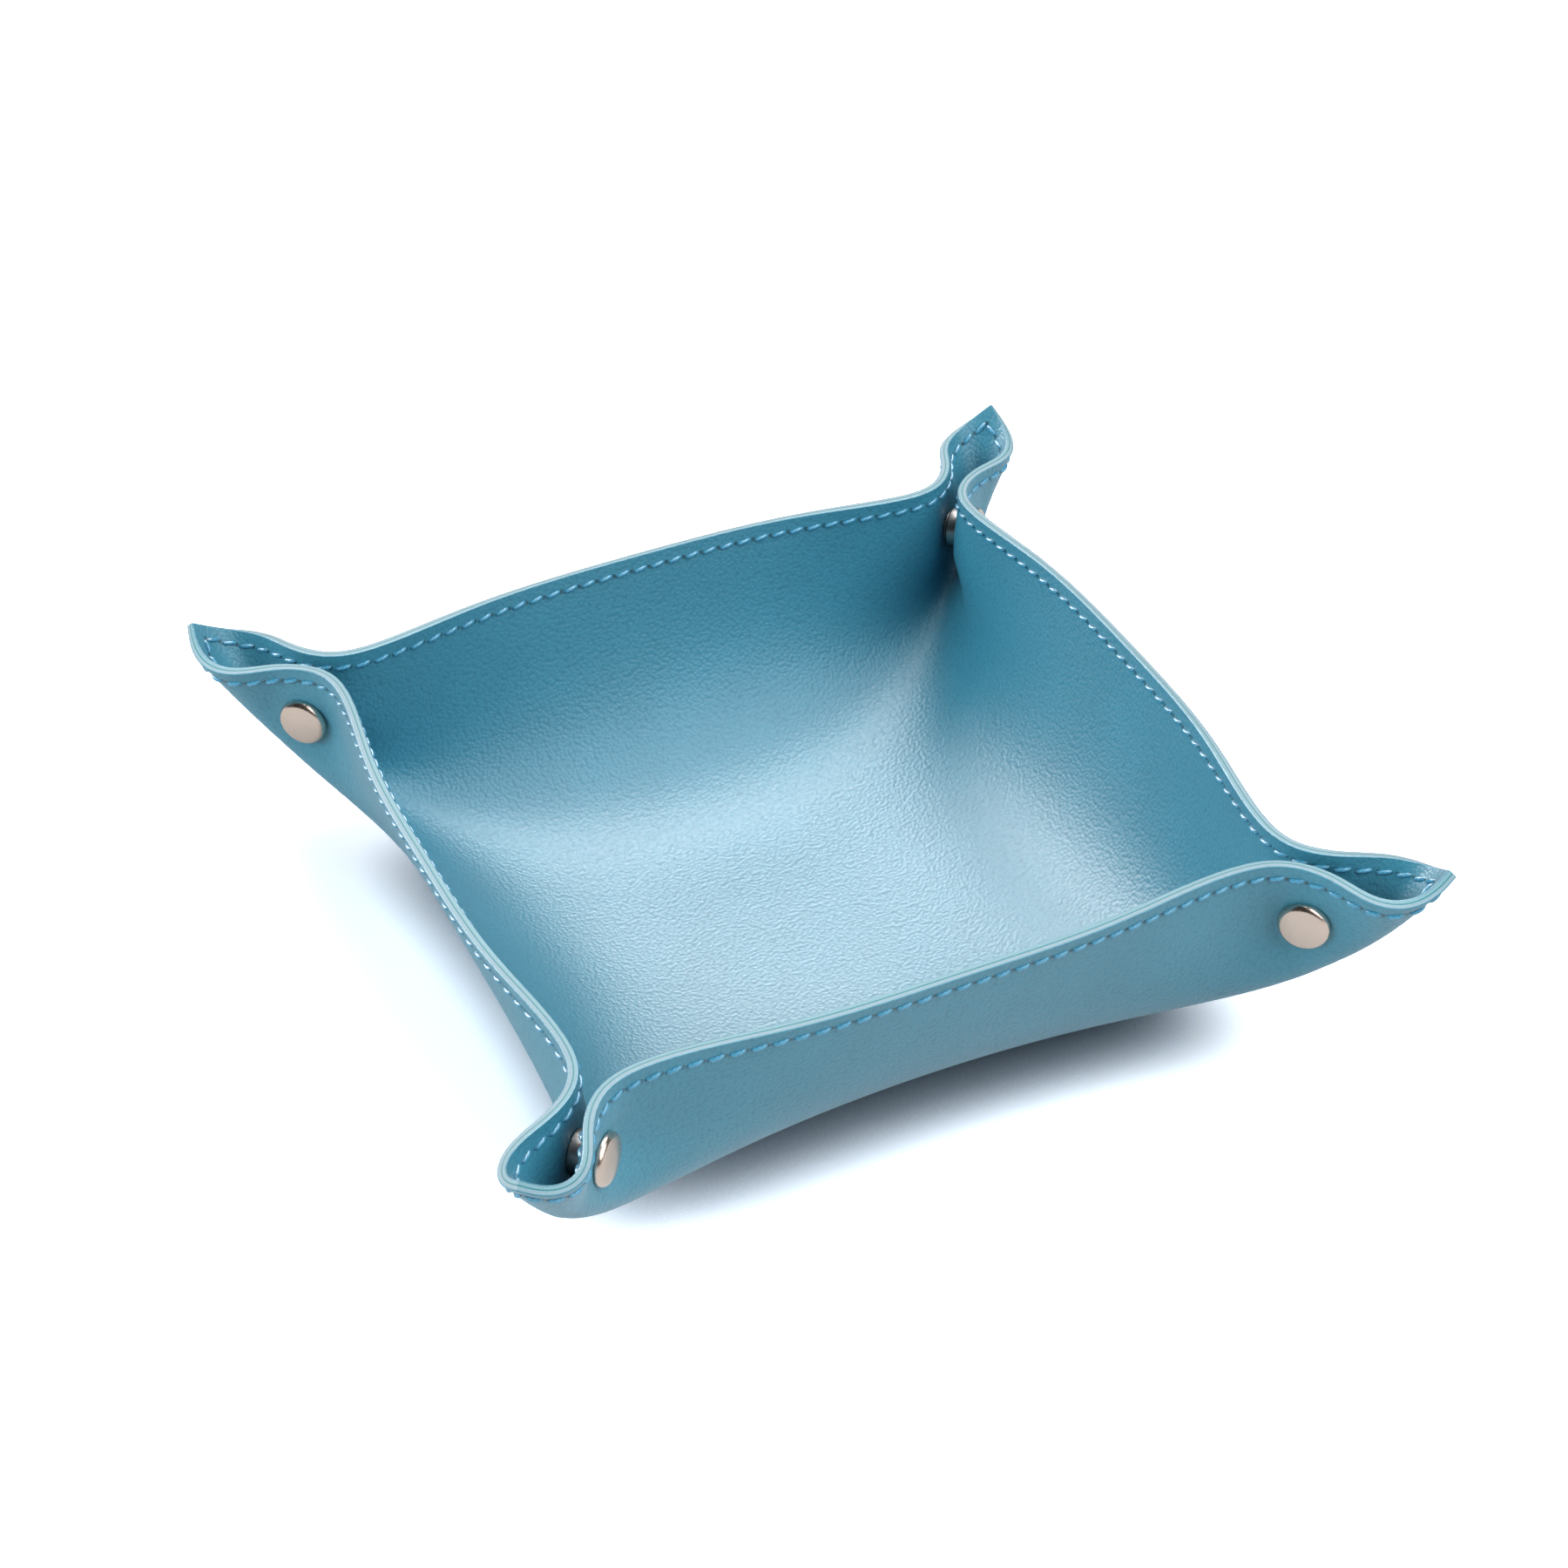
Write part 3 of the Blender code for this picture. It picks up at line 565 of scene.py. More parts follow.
class Bending:
    """Four rises in the leather of one eighth, from 0 to 1 at the cap: the least of them at a point names the
    part it belongs to.

    The wall's rise starts at the middle of the wall and the tip's at the ear's tip. The other two start at
    the fold, below and above the snap.
    """

    def __init__(self, s, sheet):
        formed = sheet.formed
        out_of_fold = np.array((DIAGONAL, -DIAGONAL, 0.0))
        along = formed.snap_along * DIAGONAL
        snap = np.array((along, along, formed.snap_height)) * sheet.half
        snap[2] += formed.lift
        places = np.linspace(0, sheet.half, FOLD_SAMPLES)
        fold = sheet.middle(places, places)
        upwards = np.cross(out_of_fold, np.gradient(fold, axis=0))
        upwards /= np.linalg.norm(upwards, axis=-1, keepdims=True)
        upwards *= np.sign(upwards[:, 2:])
        still = fold + upwards * FOLD_STILL
        near_snap = still[np.argmin(np.linalg.norm(still - snap, axis=1))]
        to_snap = snap - near_snap
        cap_edge = near_snap + to_snap * (1 - SNAP_STILL / np.linalg.norm(to_snap))
        to_cap = formed.snap_out * sheet.half + s.outer_thickness
        cap_foot = snap + out_of_fold * to_cap - (0, 0, SNAP_STILL)
        floor_middle = np.array((0.0, 0.0, formed.lift + FOLD_STILL))
        rim_middle = sheet.middle(np.full(1, sheet.half), np.zeros(1))[0]
        wall_middle = rim_middle + (0, WALL_MIDDLE_STILL, FOLD_STILL)
        wall_foot = sheet.middle(*np.array(WALL_FOOT_SHARES)[:, None] * sheet.half)[0]
        self.rises = {
            "wall": self.rise(floor_middle, cap_foot, wall_middle, wall_foot),
            "fold": self.rise(near_snap, cap_edge, floor_middle, near_snap + out_of_fold),
            "ear": self.rise(near_snap, cap_edge, still[-1], near_snap + out_of_fold),
        }
        from_tip = snap - still[-1]
        reach = np.linalg.norm(from_tip)
        self.rises["tip"] = still[-1], from_tip / (reach * (reach - SNAP_STILL))

    @staticmethod
    def rise(start, full, *still):
        """Start of a rise and its slope: 0 at the start and the two still points, 1 at the full point."""
        rows = np.array((full, *still)) - start
        return start, np.linalg.solve(rows, np.array((1.0, 0.0, 0.0)))

    def least(self, region, point):
        """Part whose rise is the least at a point."""
        return min(PARTS, key=lambda part: self.height(region, part, point))

    def height(self, region, part, point):
        start, slope = (region.to_world(vector) for vector in self.rises[part])
        return (Vector(point) - start).dot(slope)

    def cuts(self, region, part):
        """Planes between a part and the others: a point of each and its normal towards the part."""
        start, slope = self.rises[part]
        for other in PARTS:
            if other == part:
                continue
            other_start, other_slope = self.rises[other]
            normal = other_slope - slope
            reach = other_slope @ other_start - slope @ start
            length = np.linalg.norm(normal)
            yield region.to_world(normal * reach / length ** 2), region.to_world(normal / length)

    def ends(self, region, part):
        """Points between which a part's rise in the region goes from 0 to 1."""
        start, slope = self.rises[part]
        return region.to_world(start), region.to_world(start + slope / (slope @ slope))


def bend(piece, bending, region, part):
    start, end = bending.ends(region, part)
    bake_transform(piece)
    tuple(start)
    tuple(end)


# Mesh helpers

# A corner takes the sheet's normal if that lies nearer the face's own than this cosine
SHARED_NORMAL = 0.8
TURNED_SHARP = math.radians(38)


def object_from(name, mesh, materials):
    for material in materials:
        mesh.materials.append(material)
    piece = bpy.data.objects.new(name, mesh)
    bpy.context.scene.collection.objects.link(piece)
    return piece


def plain_copy(piece):
    """The object's evaluated mesh in place of its modifiers."""
    depsgraph = bpy.context.evaluated_depsgraph_get()
    mesh = bpy.data.meshes.new_from_object(piece.evaluated_get(depsgraph))
    piece.modifiers.clear()
    old = piece.data
    piece.data = mesh
    mesh.name = piece.name
    if old.users == 0:
        bpy.data.batch_remove([old])
    return mesh


def region_faces(grid, region):
    """Faces of the region's part of the grid, as rows of grid indices that face the inside."""
    n = grid.count
    index = np.arange(n * n).reshape(n, n)
    a, b, c, d = index[:-1, :-1], index[1:, :-1], index[1:, 1:], index[:-1, 1:]
    centre_x = (grid.x[:-1, :-1] + grid.x[1:, 1:]) / 2
    centre_y = (grid.y[:-1, :-1] + grid.y[1:, 1:]) / 2
    on_fold = np.isclose(np.abs(centre_x), np.abs(centre_y))
    inside = region.holds(centre_x, centre_y) & ~on_fold
    faces = [tuple(row) for row in np.stack((a[inside], b[inside], c[inside], d[inside]), -1).tolist()]
    x, y = grid.x.ravel(), grid.y.ravel()
    rising = region.signs[0] * region.signs[1] > 0
    for row in np.stack((a[on_fold], b[on_fold], c[on_fold], d[on_fold]), -1).tolist():
        p, q, r, s = row
        halves = ((p, q, r), (p, r, s)) if rising else ((p, q, s), (q, r, s))
        for half in halves:
            members = list(half)
            if region.holds(x[members].mean(), y[members].mean()):
                faces.append(half)
    return faces


def layer_mesh(name, grid, s, region, side, thickness):
    """Closed mesh of one layer in one region: its face, its side to the glue and the walls round both."""
    faces = region_faces(grid, region)
    used = sorted({i for face in faces for i in face})
    new = {old: i for i, old in enumerate(used)}
    count = len(used)
    formed = grid.formed.reshape(-1, 3)[used]
    normal = grid.normal.reshape(-1, 3)[used]
    depth = grid.depth(s, thickness).ravel()[used][:, None]
    face_points = formed + normal * depth * side
    line_points = formed + normal * s.glue_line * side
    points = np.concatenate((face_points, line_points, formed))
    flat = np.stack((grid.x.ravel()[used], grid.y.ravel()[used]), -1) / s.sheet_side + 0.5
    outside = [tuple(new[i] for i in face) for face in faces]
    edges = {}
    for face in outside:
        for p, q in zip(face, face[1:] + face[:1]):
            edges[(p, q)] = True
    rim = [(p, q) for p, q in edges if (q, p) not in edges]
    glued = [tuple(i + 2 * count for i in face[::-1]) for face in outside]
    cut = [(q, p, p + count, q + count) for p, q in rim]
    line = [(q + count, p + count, p + 2 * count, q + 2 * count) for p, q in rim]
    every = outside + glued + cut + line
    if side < 0:
        every = [face[::-1] for face in every]
    mesh = bpy.data.meshes.new(name)
    mesh.from_pydata(points.tolist(), [], every)
    slots = [0] * (len(outside) + len(glued)) + [1] * len(cut) + [2] * len(line)
    mesh.polygons.foreach_set("material_index", slots)
    attribute = mesh.attributes.new("face_normal", "FLOAT_VECTOR", "POINT")
    attribute.data.foreach_set("vector", np.tile(normal * side, (3, 1)).ravel())
    layer = mesh.uv_layers.new(name="sheet")
    corners = np.zeros(len(mesh.loops), np.int32)
    mesh.loops.foreach_get("vertex_index", corners)
    layer.data.foreach_set("uv", np.tile(flat, (3, 1))[corners].ravel())
    return mesh


def cut_at_planes(mesh, name, planes):
    """Copy of a closed mesh in front of some planes, closed again at each cut."""
    bm = bmesh.new()
    bm.from_mesh(mesh)
    for place, normal in planes:
        geometry = bm.verts[:] + bm.edges[:] + bm.faces[:]
        result = bmesh.ops.bisect_plane(bm, geom=geometry, dist=TINY, plane_co=place, plane_no=normal,
                                        clear_inner=True)
        edges = [item for item in result["geom_cut"] if isinstance(item, bmesh.types.BMEdge)]
        bmesh.ops.holes_fill(bm, edges=edges, sides=0)
    copy = bpy.data.meshes.new(name)
    bm.to_mesh(copy)
    bm.free()
    return copy


def shade_from_sheet(mesh):
    """Smooth shading that runs on across the cuts: the faces take the whole sheet's normals."""
    mesh.shade_smooth()
    stored = np.zeros(len(mesh.vertices) * 3, np.float32)
    mesh.attributes["face_normal"].data.foreach_get("vector", stored)
    stored = stored.reshape(-1, 3)
    normals = []
    for face in mesh.polygons:
        for corner in face.vertices:
            wanted = Vector(stored[corner])
            along = wanted.dot(face.normal)
            normals.append(wanted.normalized() if along > SHARED_NORMAL else face.normal)
    mesh.normals_split_custom_set(normals)
    mesh.attributes.remove(mesh.attributes["face_normal"])


def turned_mesh(name, profile, sides, place):
    """Turned piece from (radius, height) points, outer side first and downwards, placed by a matrix."""
    bm = bmesh.new()
    rings = []
    for radius, height in profile:
        if radius == 0:
            rings.append([bm.verts.new((0, 0, height))])
            continue
        angles = [2 * math.pi * i / sides for i in range(sides)]
        rings.append([bm.verts.new((radius * math.cos(a), radius * math.sin(a), height)) for a in angles])
    for upper, lower in zip(rings, rings[1:] + rings[:1]):
        for i in range(sides):
            j = (i + 1) % sides
            corners = [ring[k % len(ring)] for ring, k in ((upper, i), (lower, i), (lower, j), (upper, j))]
            corners = list(dict.fromkeys(corners))
            if len(corners) > 2:
                bm.faces.new(corners)
    bm.transform(place)
    mesh = bpy.data.meshes.new(name)
    bm.to_mesh(mesh)
    bm.free()
    mesh.shade_smooth()
    mesh.set_sharp_from_angle(angle=TURNED_SHARP)
    return mesh


def arc(centre, radius, start, end, steps):
    """Points of an arc in a profile's plane, angles measured from the outward direction, in degrees."""
    angles = [math.radians(start + (end - start) * i / steps) for i in range(steps + 1)]
    return [(centre[0] + radius * math.cos(a), centre[1] + radius * math.sin(a)) for a in angles]


# Materials

# Sizes of the grain, of the painted shade in a needle hole and its dark rim, of the core's fibres and of the
# marks on metal
PEBBLE = 0.78 * MM
PORE = 0.9 * MM
MOTTLE = 14 * MM
HOLE_INNER = 0.20 * MM
HOLE_OUTER = 0.62 * MM
FIBRE = 0.5 * MM
METAL_MARK = 0.35 * MM
METAL_CLOUD = 4 * MM
PLY_TURNS = 4.0
PLIES = 3.0


def new_material(name):
    material = bpy.data.materials.new(name)
    material.use_nodes = True
    tree = material.node_tree
    return material, tree, tree.nodes["Principled BSDF"]


def add_node(tree, kind, values=(), **settings):
    node = tree.nodes.new(kind)
    for key, value in settings.items():
        setattr(node, key, value)
    for key, value in values:
        node.inputs[key].default_value = value
    return node


def chain(tree, *links):
    for source, target in links:
        tree.links.new(source, target)


def shaded(colour, factor):
    return (*(min(channel * factor, 1) for channel in colour), 1)


def calculate(tree, operation, first, second=None):
    """Output of a math node on two sockets or numbers."""
    node = tree.nodes.new("ShaderNodeMath")
    node.operation = operation
    for socket, value in zip(node.inputs, (first, second)):
        if isinstance(value, bpy.types.NodeSocket):
            tree.links.new(value, socket)
        elif value is not None:
            socket.default_value = value
    return node.outputs["Value"]


def needle_hole_shade(tree, uv):
    """Mask of the painted shade in the seam's needle holes: 1 in a hole, fading out round it, from the
    sheet's flat coordinates.
    """
    s = sizes()
    seam = 0.5 - s.stitch_from_edge / s.sheet_side
    pitch = 2 * seam / s.stitches_per_side
    place = add_node(tree, "ShaderNodeSeparateXYZ")
    tree.links.new(uv, place.inputs["Vector"])
    x = calculate(tree, "ABSOLUTE", calculate(tree, "SUBTRACT", place.outputs["X"], 0.5))
    y = calculate(tree, "ABSOLUTE", calculate(tree, "SUBTRACT", place.outputs["Y"], 0.5))
    across = calculate(tree, "SUBTRACT", calculate(tree, "MAXIMUM", x, y), seam)
    along = calculate(tree, "SUBTRACT", seam, calculate(tree, "MINIMUM", x, y))
    along = calculate(tree, "PINGPONG", calculate(tree, "DIVIDE", along, pitch), 0.5)
    along = calculate(tree, "MULTIPLY", along, pitch)
    away = calculate(tree, "SQRT", calculate(tree, "ADD", calculate(tree, "MULTIPLY", across, across),
                                             calculate(tree, "MULTIPLY", along, along)))
    mask = add_node(tree, "ShaderNodeMapRange", [("From Min", HOLE_OUTER / s.sheet_side),
                                                 ("From Max", HOLE_INNER / s.sheet_side)])
    tree.links.new(away, mask.inputs["Value"])
    return mask.outputs["Result"]


def leather_material(name, colour, roughness, sheen):
    """Dyed leather: pebble grain in the sheet's own flat coordinates, faint mottling, painted shade in the
    grain's hollows and in the needle holes, and a satin top.
    """
    material, tree, shader = new_material(name)
    side = sizes().sheet_side
    place = add_node(tree, "ShaderNodeUVMap", uv_map="sheet")
    pebbles = add_node(tree, "ShaderNodeTexVoronoi", [("Scale", side / PEBBLE), ("Smoothness", 0.7)],
                       voronoi_dimensions="2D", feature="SMOOTH_F1")
    pores = add_node(tree, "ShaderNodeTexNoise", [("Scale", side / PORE), ("Detail", 4), ("Roughness", 0.62)],
                     noise_dimensions="2D")
    mottling = add_node(tree, "ShaderNodeTexNoise", [("Scale", side / MOTTLE), ("Detail", 3)],
                        noise_dimensions="2D")
    relief = add_node(tree, "ShaderNodeMix", [("Factor", 0.45)], data_type="FLOAT")
    tone = add_node(tree, "ShaderNodeMix", data_type="RGBA")
    tone.inputs["A"].default_value = shaded(colour, 0.93)
    tone.inputs["B"].default_value = shaded(colour, 1.08)
    # Painted shade: the grain's hollows are darkened and tinted bluish, as if shade lay in them
    hollow_shade = add_node(tree, "ShaderNodeMix", data_type="RGBA", blend_type="MULTIPLY")
    hollow_shade.inputs["B"].default_value = (0.72, 0.78, 0.82, 1)
    # Painted shade: the leather is darkened in and round each needle hole, where the thread goes in
    hole_shade = add_node(tree, "ShaderNodeMix", data_type="RGBA")
    hole_shade.inputs["B"].default_value = shaded(colour, 0.3)
    hollow_shade_share = add_node(tree, "ShaderNodeMapRange", [("From Min", 0.35), ("From Max", 0.75),
                                                     ("To Max", 0.55)])
    gloss = add_node(tree, "ShaderNodeMapRange", [("From Min", 0.3), ("From Max", 0.7),
                                                  ("To Min", roughness - 0.05), ("To Max", roughness + 0.07)])
    bump = add_node(tree, "ShaderNodeBump", [("Strength", 0.85), ("Distance", 0.18 * MM)])
    chain(tree,
          (place.outputs["UV"], pebbles.inputs["Vector"]),
          (place.outputs["UV"], pores.inputs["Vector"]),
          (place.outputs["UV"], mottling.inputs["Vector"]),
          (pebbles.outputs["Distance"], relief.inputs["A"]),
          (pores.outputs["Fac"], relief.inputs["B"]),
          (mottling.outputs["Fac"], tone.inputs["Factor"]),
          (pebbles.outputs["Distance"], hollow_shade_share.inputs["Value"]),
          (hollow_shade_share.outputs["Result"], hollow_shade.inputs["Factor"]),
          (tone.outputs["Result"], hollow_shade.inputs["A"]),
          (hollow_shade.outputs["Result"], hole_shade.inputs["A"]),
          (needle_hole_shade(tree, place.outputs["UV"]), hole_shade.inputs["Factor"]),
          (hole_shade.outputs["Result"], shader.inputs["Base Color"]),
          (pores.outputs["Fac"], gloss.inputs["Value"]),
          (gloss.outputs["Result"], shader.inputs["Roughness"]),
          (relief.outputs["Result"], bump.inputs["Height"]),
          (bump.outputs["Normal"], shader.inputs["Normal"]))
    bump.invert = True
    shader.inputs["Specular IOR Level"].default_value = 0.9
    shader.inputs["Sheen Weight"].default_value = sheen
    shader.inputs["Sheen Roughness"].default_value = 0.45
    shader.inputs["Sheen Tint"].default_value = (0.85, 0.93, 1.0, 1)
    return material


def cut_edge_material(name, colour):
    """Pale fibrous core of the leather, seen at the cut edge."""
    material, tree, shader = new_material(name)
    place = add_node(tree, "ShaderNodeTexCoord")
    fibres = add_node(tree, "ShaderNodeTexNoise", [("Scale", 1 / FIBRE), ("Detail", 5), ("Roughness", 0.7)])
    tone = add_node(tree, "ShaderNodeMix", data_type="RGBA")
    tone.inputs["A"].default_value = shaded(colour, 0.82)
    tone.inputs["B"].default_value = shaded(colour, 1.16)
    bump = add_node(tree, "ShaderNodeBump", [("Strength", 0.5), ("Distance", 0.06 * MM)])
    chain(tree,
          (place.outputs["Object"], fibres.inputs["Vector"]),
          (fibres.outputs["Fac"], tone.inputs["Factor"]),
          (tone.outputs["Result"], shader.inputs["Base Color"]),
          (fibres.outputs["Fac"], bump.inputs["Height"]),
          (bump.outputs["Normal"], shader.inputs["Normal"]))
    shader.inputs["Roughness"].default_value = 0.72
    shader.inputs["Sheen Weight"].default_value = 0.3
    return material


def thread_material(name, colour):
    """Bonded sewing thread: plies wind round it. Painted shade darkens it between them and where it goes into
    a hole, and a painted highlight lightens the plies' crowns.
    """
    material, tree, shader = new_material(name)
    along = add_node(tree, "ShaderNodeAttribute", attribute_name="along")
    around = add_node(tree, "ShaderNodeAttribute", attribute_name="around")
    winding = calculate(tree, "ADD", calculate(tree, "MULTIPLY", along.outputs["Fac"], PLY_TURNS),
                        calculate(tree, "MULTIPLY", around.outputs["Fac"], PLIES))
    wave = calculate(tree, "PINGPONG", winding, 0.5)
    from_end = calculate(tree, "PINGPONG", along.outputs["Fac"], 0.5)
    # Painted shade and highlight: the thread is darker between its plies and lighter on their crowns
    tone = add_node(tree, "ShaderNodeMix", data_type="RGBA")
    tone.inputs["A"].default_value = shaded(colour, 0.8)
    tone.inputs["B"].default_value = shaded(colour, 1.3)
    level = add_node(tree, "ShaderNodeMapRange", [("From Max", 0.5)])
    # Painted shade: each stitch is darkened towards its ends, where it goes into a hole
    out_of_hole = add_node(tree, "ShaderNodeMapRange", [("From Min", 0.04), ("From Max", 0.26)])
    thread_hole_shade = add_node(tree, "ShaderNodeMix", data_type="RGBA")
    thread_hole_shade.inputs["A"].default_value = shaded(colour, 0.2)
    bump = add_node(tree, "ShaderNodeBump", [("Strength", 0.5), ("Distance", 0.06 * MM)])
    chain(tree,
          (wave, level.inputs["Value"]),
          (level.outputs["Result"], tone.inputs["Factor"]),
          (from_end, out_of_hole.inputs["Value"]),
          (out_of_hole.outputs["Result"], thread_hole_shade.inputs["Factor"]),
          (tone.outputs["Result"], thread_hole_shade.inputs["B"]),
          (thread_hole_shade.outputs["Result"], shader.inputs["Base Color"]),
          (wave, bump.inputs["Height"]),
          (bump.outputs["Normal"], shader.inputs["Normal"]))
    shader.inputs["Roughness"].default_value = 0.34
    shader.inputs["Specular IOR Level"].default_value = 0.7
    shader.inputs["Coat Weight"].default_value = 0.6
    shader.inputs["Coat Roughness"].default_value = 0.22
    return material


def metal_material(name, colour, roughness, scratch):
    """Plated metal with fine handling marks in its gloss."""
    material, tree, shader = new_material(name)
    place = add_node(tree, "ShaderNodeTexCoord")
    marks = add_node(tree, "ShaderNodeTexNoise", [("Scale", 1 / METAL_MARK), ("Detail", 6),
                                                  ("Roughness", 0.65)])
    cloud = add_node(tree, "ShaderNodeTexNoise", [("Scale", 1 / METAL_CLOUD), ("Detail", 2)])
    gloss = add_node(tree, "ShaderNodeMapRange", [("From Min", 0.35), ("From Max", 0.65),
                                                  ("To Min", roughness), ("To Max", roughness + scratch)])
    tone = add_node(tree, "ShaderNodeMix", data_type="RGBA")
    tone.inputs["A"].default_value = shaded(colour, 0.94)
    tone.inputs["B"].default_value = shaded(colour, 1.04)
    bump = add_node(tree, "ShaderNodeBump", [("Strength", 0.12), ("Distance", 0.02 * MM)])
    chain(tree,
          (place.outputs["Object"], marks.inputs["Vector"]),
          (place.outputs["Object"], cloud.inputs["Vector"]),
          (marks.outputs["Fac"], gloss.inputs["Value"]),
          (gloss.outputs["Result"], shader.inputs["Roughness"]),
          (cloud.outputs["Fac"], tone.inputs["Factor"]),
          (tone.outputs["Result"], shader.inputs["Base Color"]),
          (marks.outputs["Fac"], bump.inputs["Height"]),
          (bump.outputs["Normal"], shader.inputs["Normal"]))
    shader.inputs["Metallic"].default_value = 1.0
    return material


# Leather

SNAP_HOLE = 1.2 * MM
SNAP_HOLE_REACH = 6 * MM
HOLE_SIDES = 24


def snap_place(sheet, region):
    """Matrix of a snap half: origin where the halves meet, +Z out through the region's wall."""
    centre = region.to_world(np.array((sheet.snap_along * DIAGONAL, sheet.snap_along * DIAGONAL,
                                       sheet.snap_height)) * sheet.half) + Vector((0, 0, sheet.lift))
    outwards = region.to_world((DIAGONAL, -DIAGONAL, 0))
    up = Vector((0, 0, 1))
    rotation = Matrix((up.cross(outwards), up, outwards)).transposed()
    return Matrix.Translation(centre) @ rotation.to_4x4()


def hole_cutter(sheet, region):
    """Cylinder through both leathers at the region's snap."""
    reach = SNAP_HOLE_REACH
    profile = [(0, reach), (SNAP_HOLE, reach), (SNAP_HOLE, 0), (0, 0)]
    mesh = turned_mesh("snap_hole", profile, HOLE_SIDES, snap_place(sheet, region))
    return object_from("snap_hole", mesh, [])


def punch_hole(piece, cutter):
    hole = piece.modifiers.new("snap_hole", "BOOLEAN")
    hole.operation = "DIFFERENCE"
    hole.solver = "EXACT"
    hole.object = cutter
    plain_copy(piece)


def make_layer(label, node, side, thickness, materials):
    """All regions of one leather. Each region is cut into its parts."""
    s = sizes()
    grid = SheetGrid(s)
    bending = Bending(s, grid.sheet)
    for region in regions():
        whole = layer_mesh(label, grid, s, region, side, thickness)
        for part in PARTS:
            name = f"{label}_{region.wall}_{part}_{region.corner}"
            mesh = cut_at_planes(whole, name, bending.cuts(region, part))
            piece = object_from(name, mesh, materials)
            if part == "wall":
                cutter = hole_cutter(grid.sheet.formed, region)
                punch_hole(piece, cutter)
                bpy.data.objects.remove(cutter)
            shade_from_sheet(piece.data)
            bend(piece, bending, region, part)
            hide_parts(node)
        bpy.data.meshes.remove(whole)


class TRAY_OT_outer_leather(bpy.types.Operator):
    """Outer leather, with its cut edge"""

    bl_idname = "tray.outer_leather"
    bl_label = "Outer Leather"

    def execute(self, context):
        s, c = sizes(), colours()
        materials = [leather_material("outer_leather", c.outer, roughness=0.50, sheen=0.25),
                     cut_edge_material("outer_cut_edge", c.outer_edge),
                     cut_edge_material("outer_glue_line", c.glue)]
        make_layer("outer", "leather_outer", -1, s.outer_thickness, materials)
        return {"FINISHED"}


class TRAY_OT_lining(bpy.types.Operator):
    """Lining leather, with its cut edge"""

    bl_idname = "tray.lining"
    bl_label = "Lining"

    def execute(self, context):
        s, c = sizes(), colours()
        materials = [leather_material("lining_leather", c.lining, roughness=0.46, sheen=0.05),
                     cut_edge_material("lining_cut_edge", c.lining_edge),
                     cut_edge_material("lining_glue_line", c.glue)]
        make_layer("lining", "leather_lining", 1, s.lining_thickness, materials)
        return {"FINISHED"}


# Seam

GUIDE_POINTS = 260
NORMAL_STEP = 0.25 * MM
STITCH_RINGS = 9
STITCH_SIDES = 8
STITCH_END_SHARE = 0.35
THREAD_PROUD = 0.10 * MM


def seam_guide(grid, s, side, thickness):
    """Lines along the four sides of the seam on one face, which store the direction out of the leather."""
    line = grid.sheet.half - s.stitch_from_edge
    along = np.linspace(-line, line, GUIDE_POINTS)
    across = np.full_like(along, line)
    points, outs, edges = [], [], []
    for x, y in ((along, -across), (across, along), (-along, across), (-across, -along)):
        first = sum(len(part) for part in points)
        middle = grid.sheet.middle(x, y)
        east = grid.sheet.middle(x + NORMAL_STEP, y) - grid.sheet.middle(x - NORMAL_STEP, y)
        north = grid.sheet.middle(x, y + NORMAL_STEP) - grid.sheet.middle(x, y - NORMAL_STEP)
        out = np.cross(east, north)
        out *= side / np.linalg.norm(out, axis=1, keepdims=True)
        points.append(middle + out * (thickness - s.seam_groove - s.thread_radius))
        outs.append(out)
        edges += [(first + i, first + i + 1) for i in range(GUIDE_POINTS - 1)]
    mesh = bpy.data.meshes.new("seam_guide")
    mesh.from_pydata(np.concatenate(points).tolist(), edges, [])
    attribute = mesh.attributes.new("out", "FLOAT_VECTOR", "POINT")
    attribute.data.foreach_set("vector", np.concatenate(outs).ravel())
    return mesh


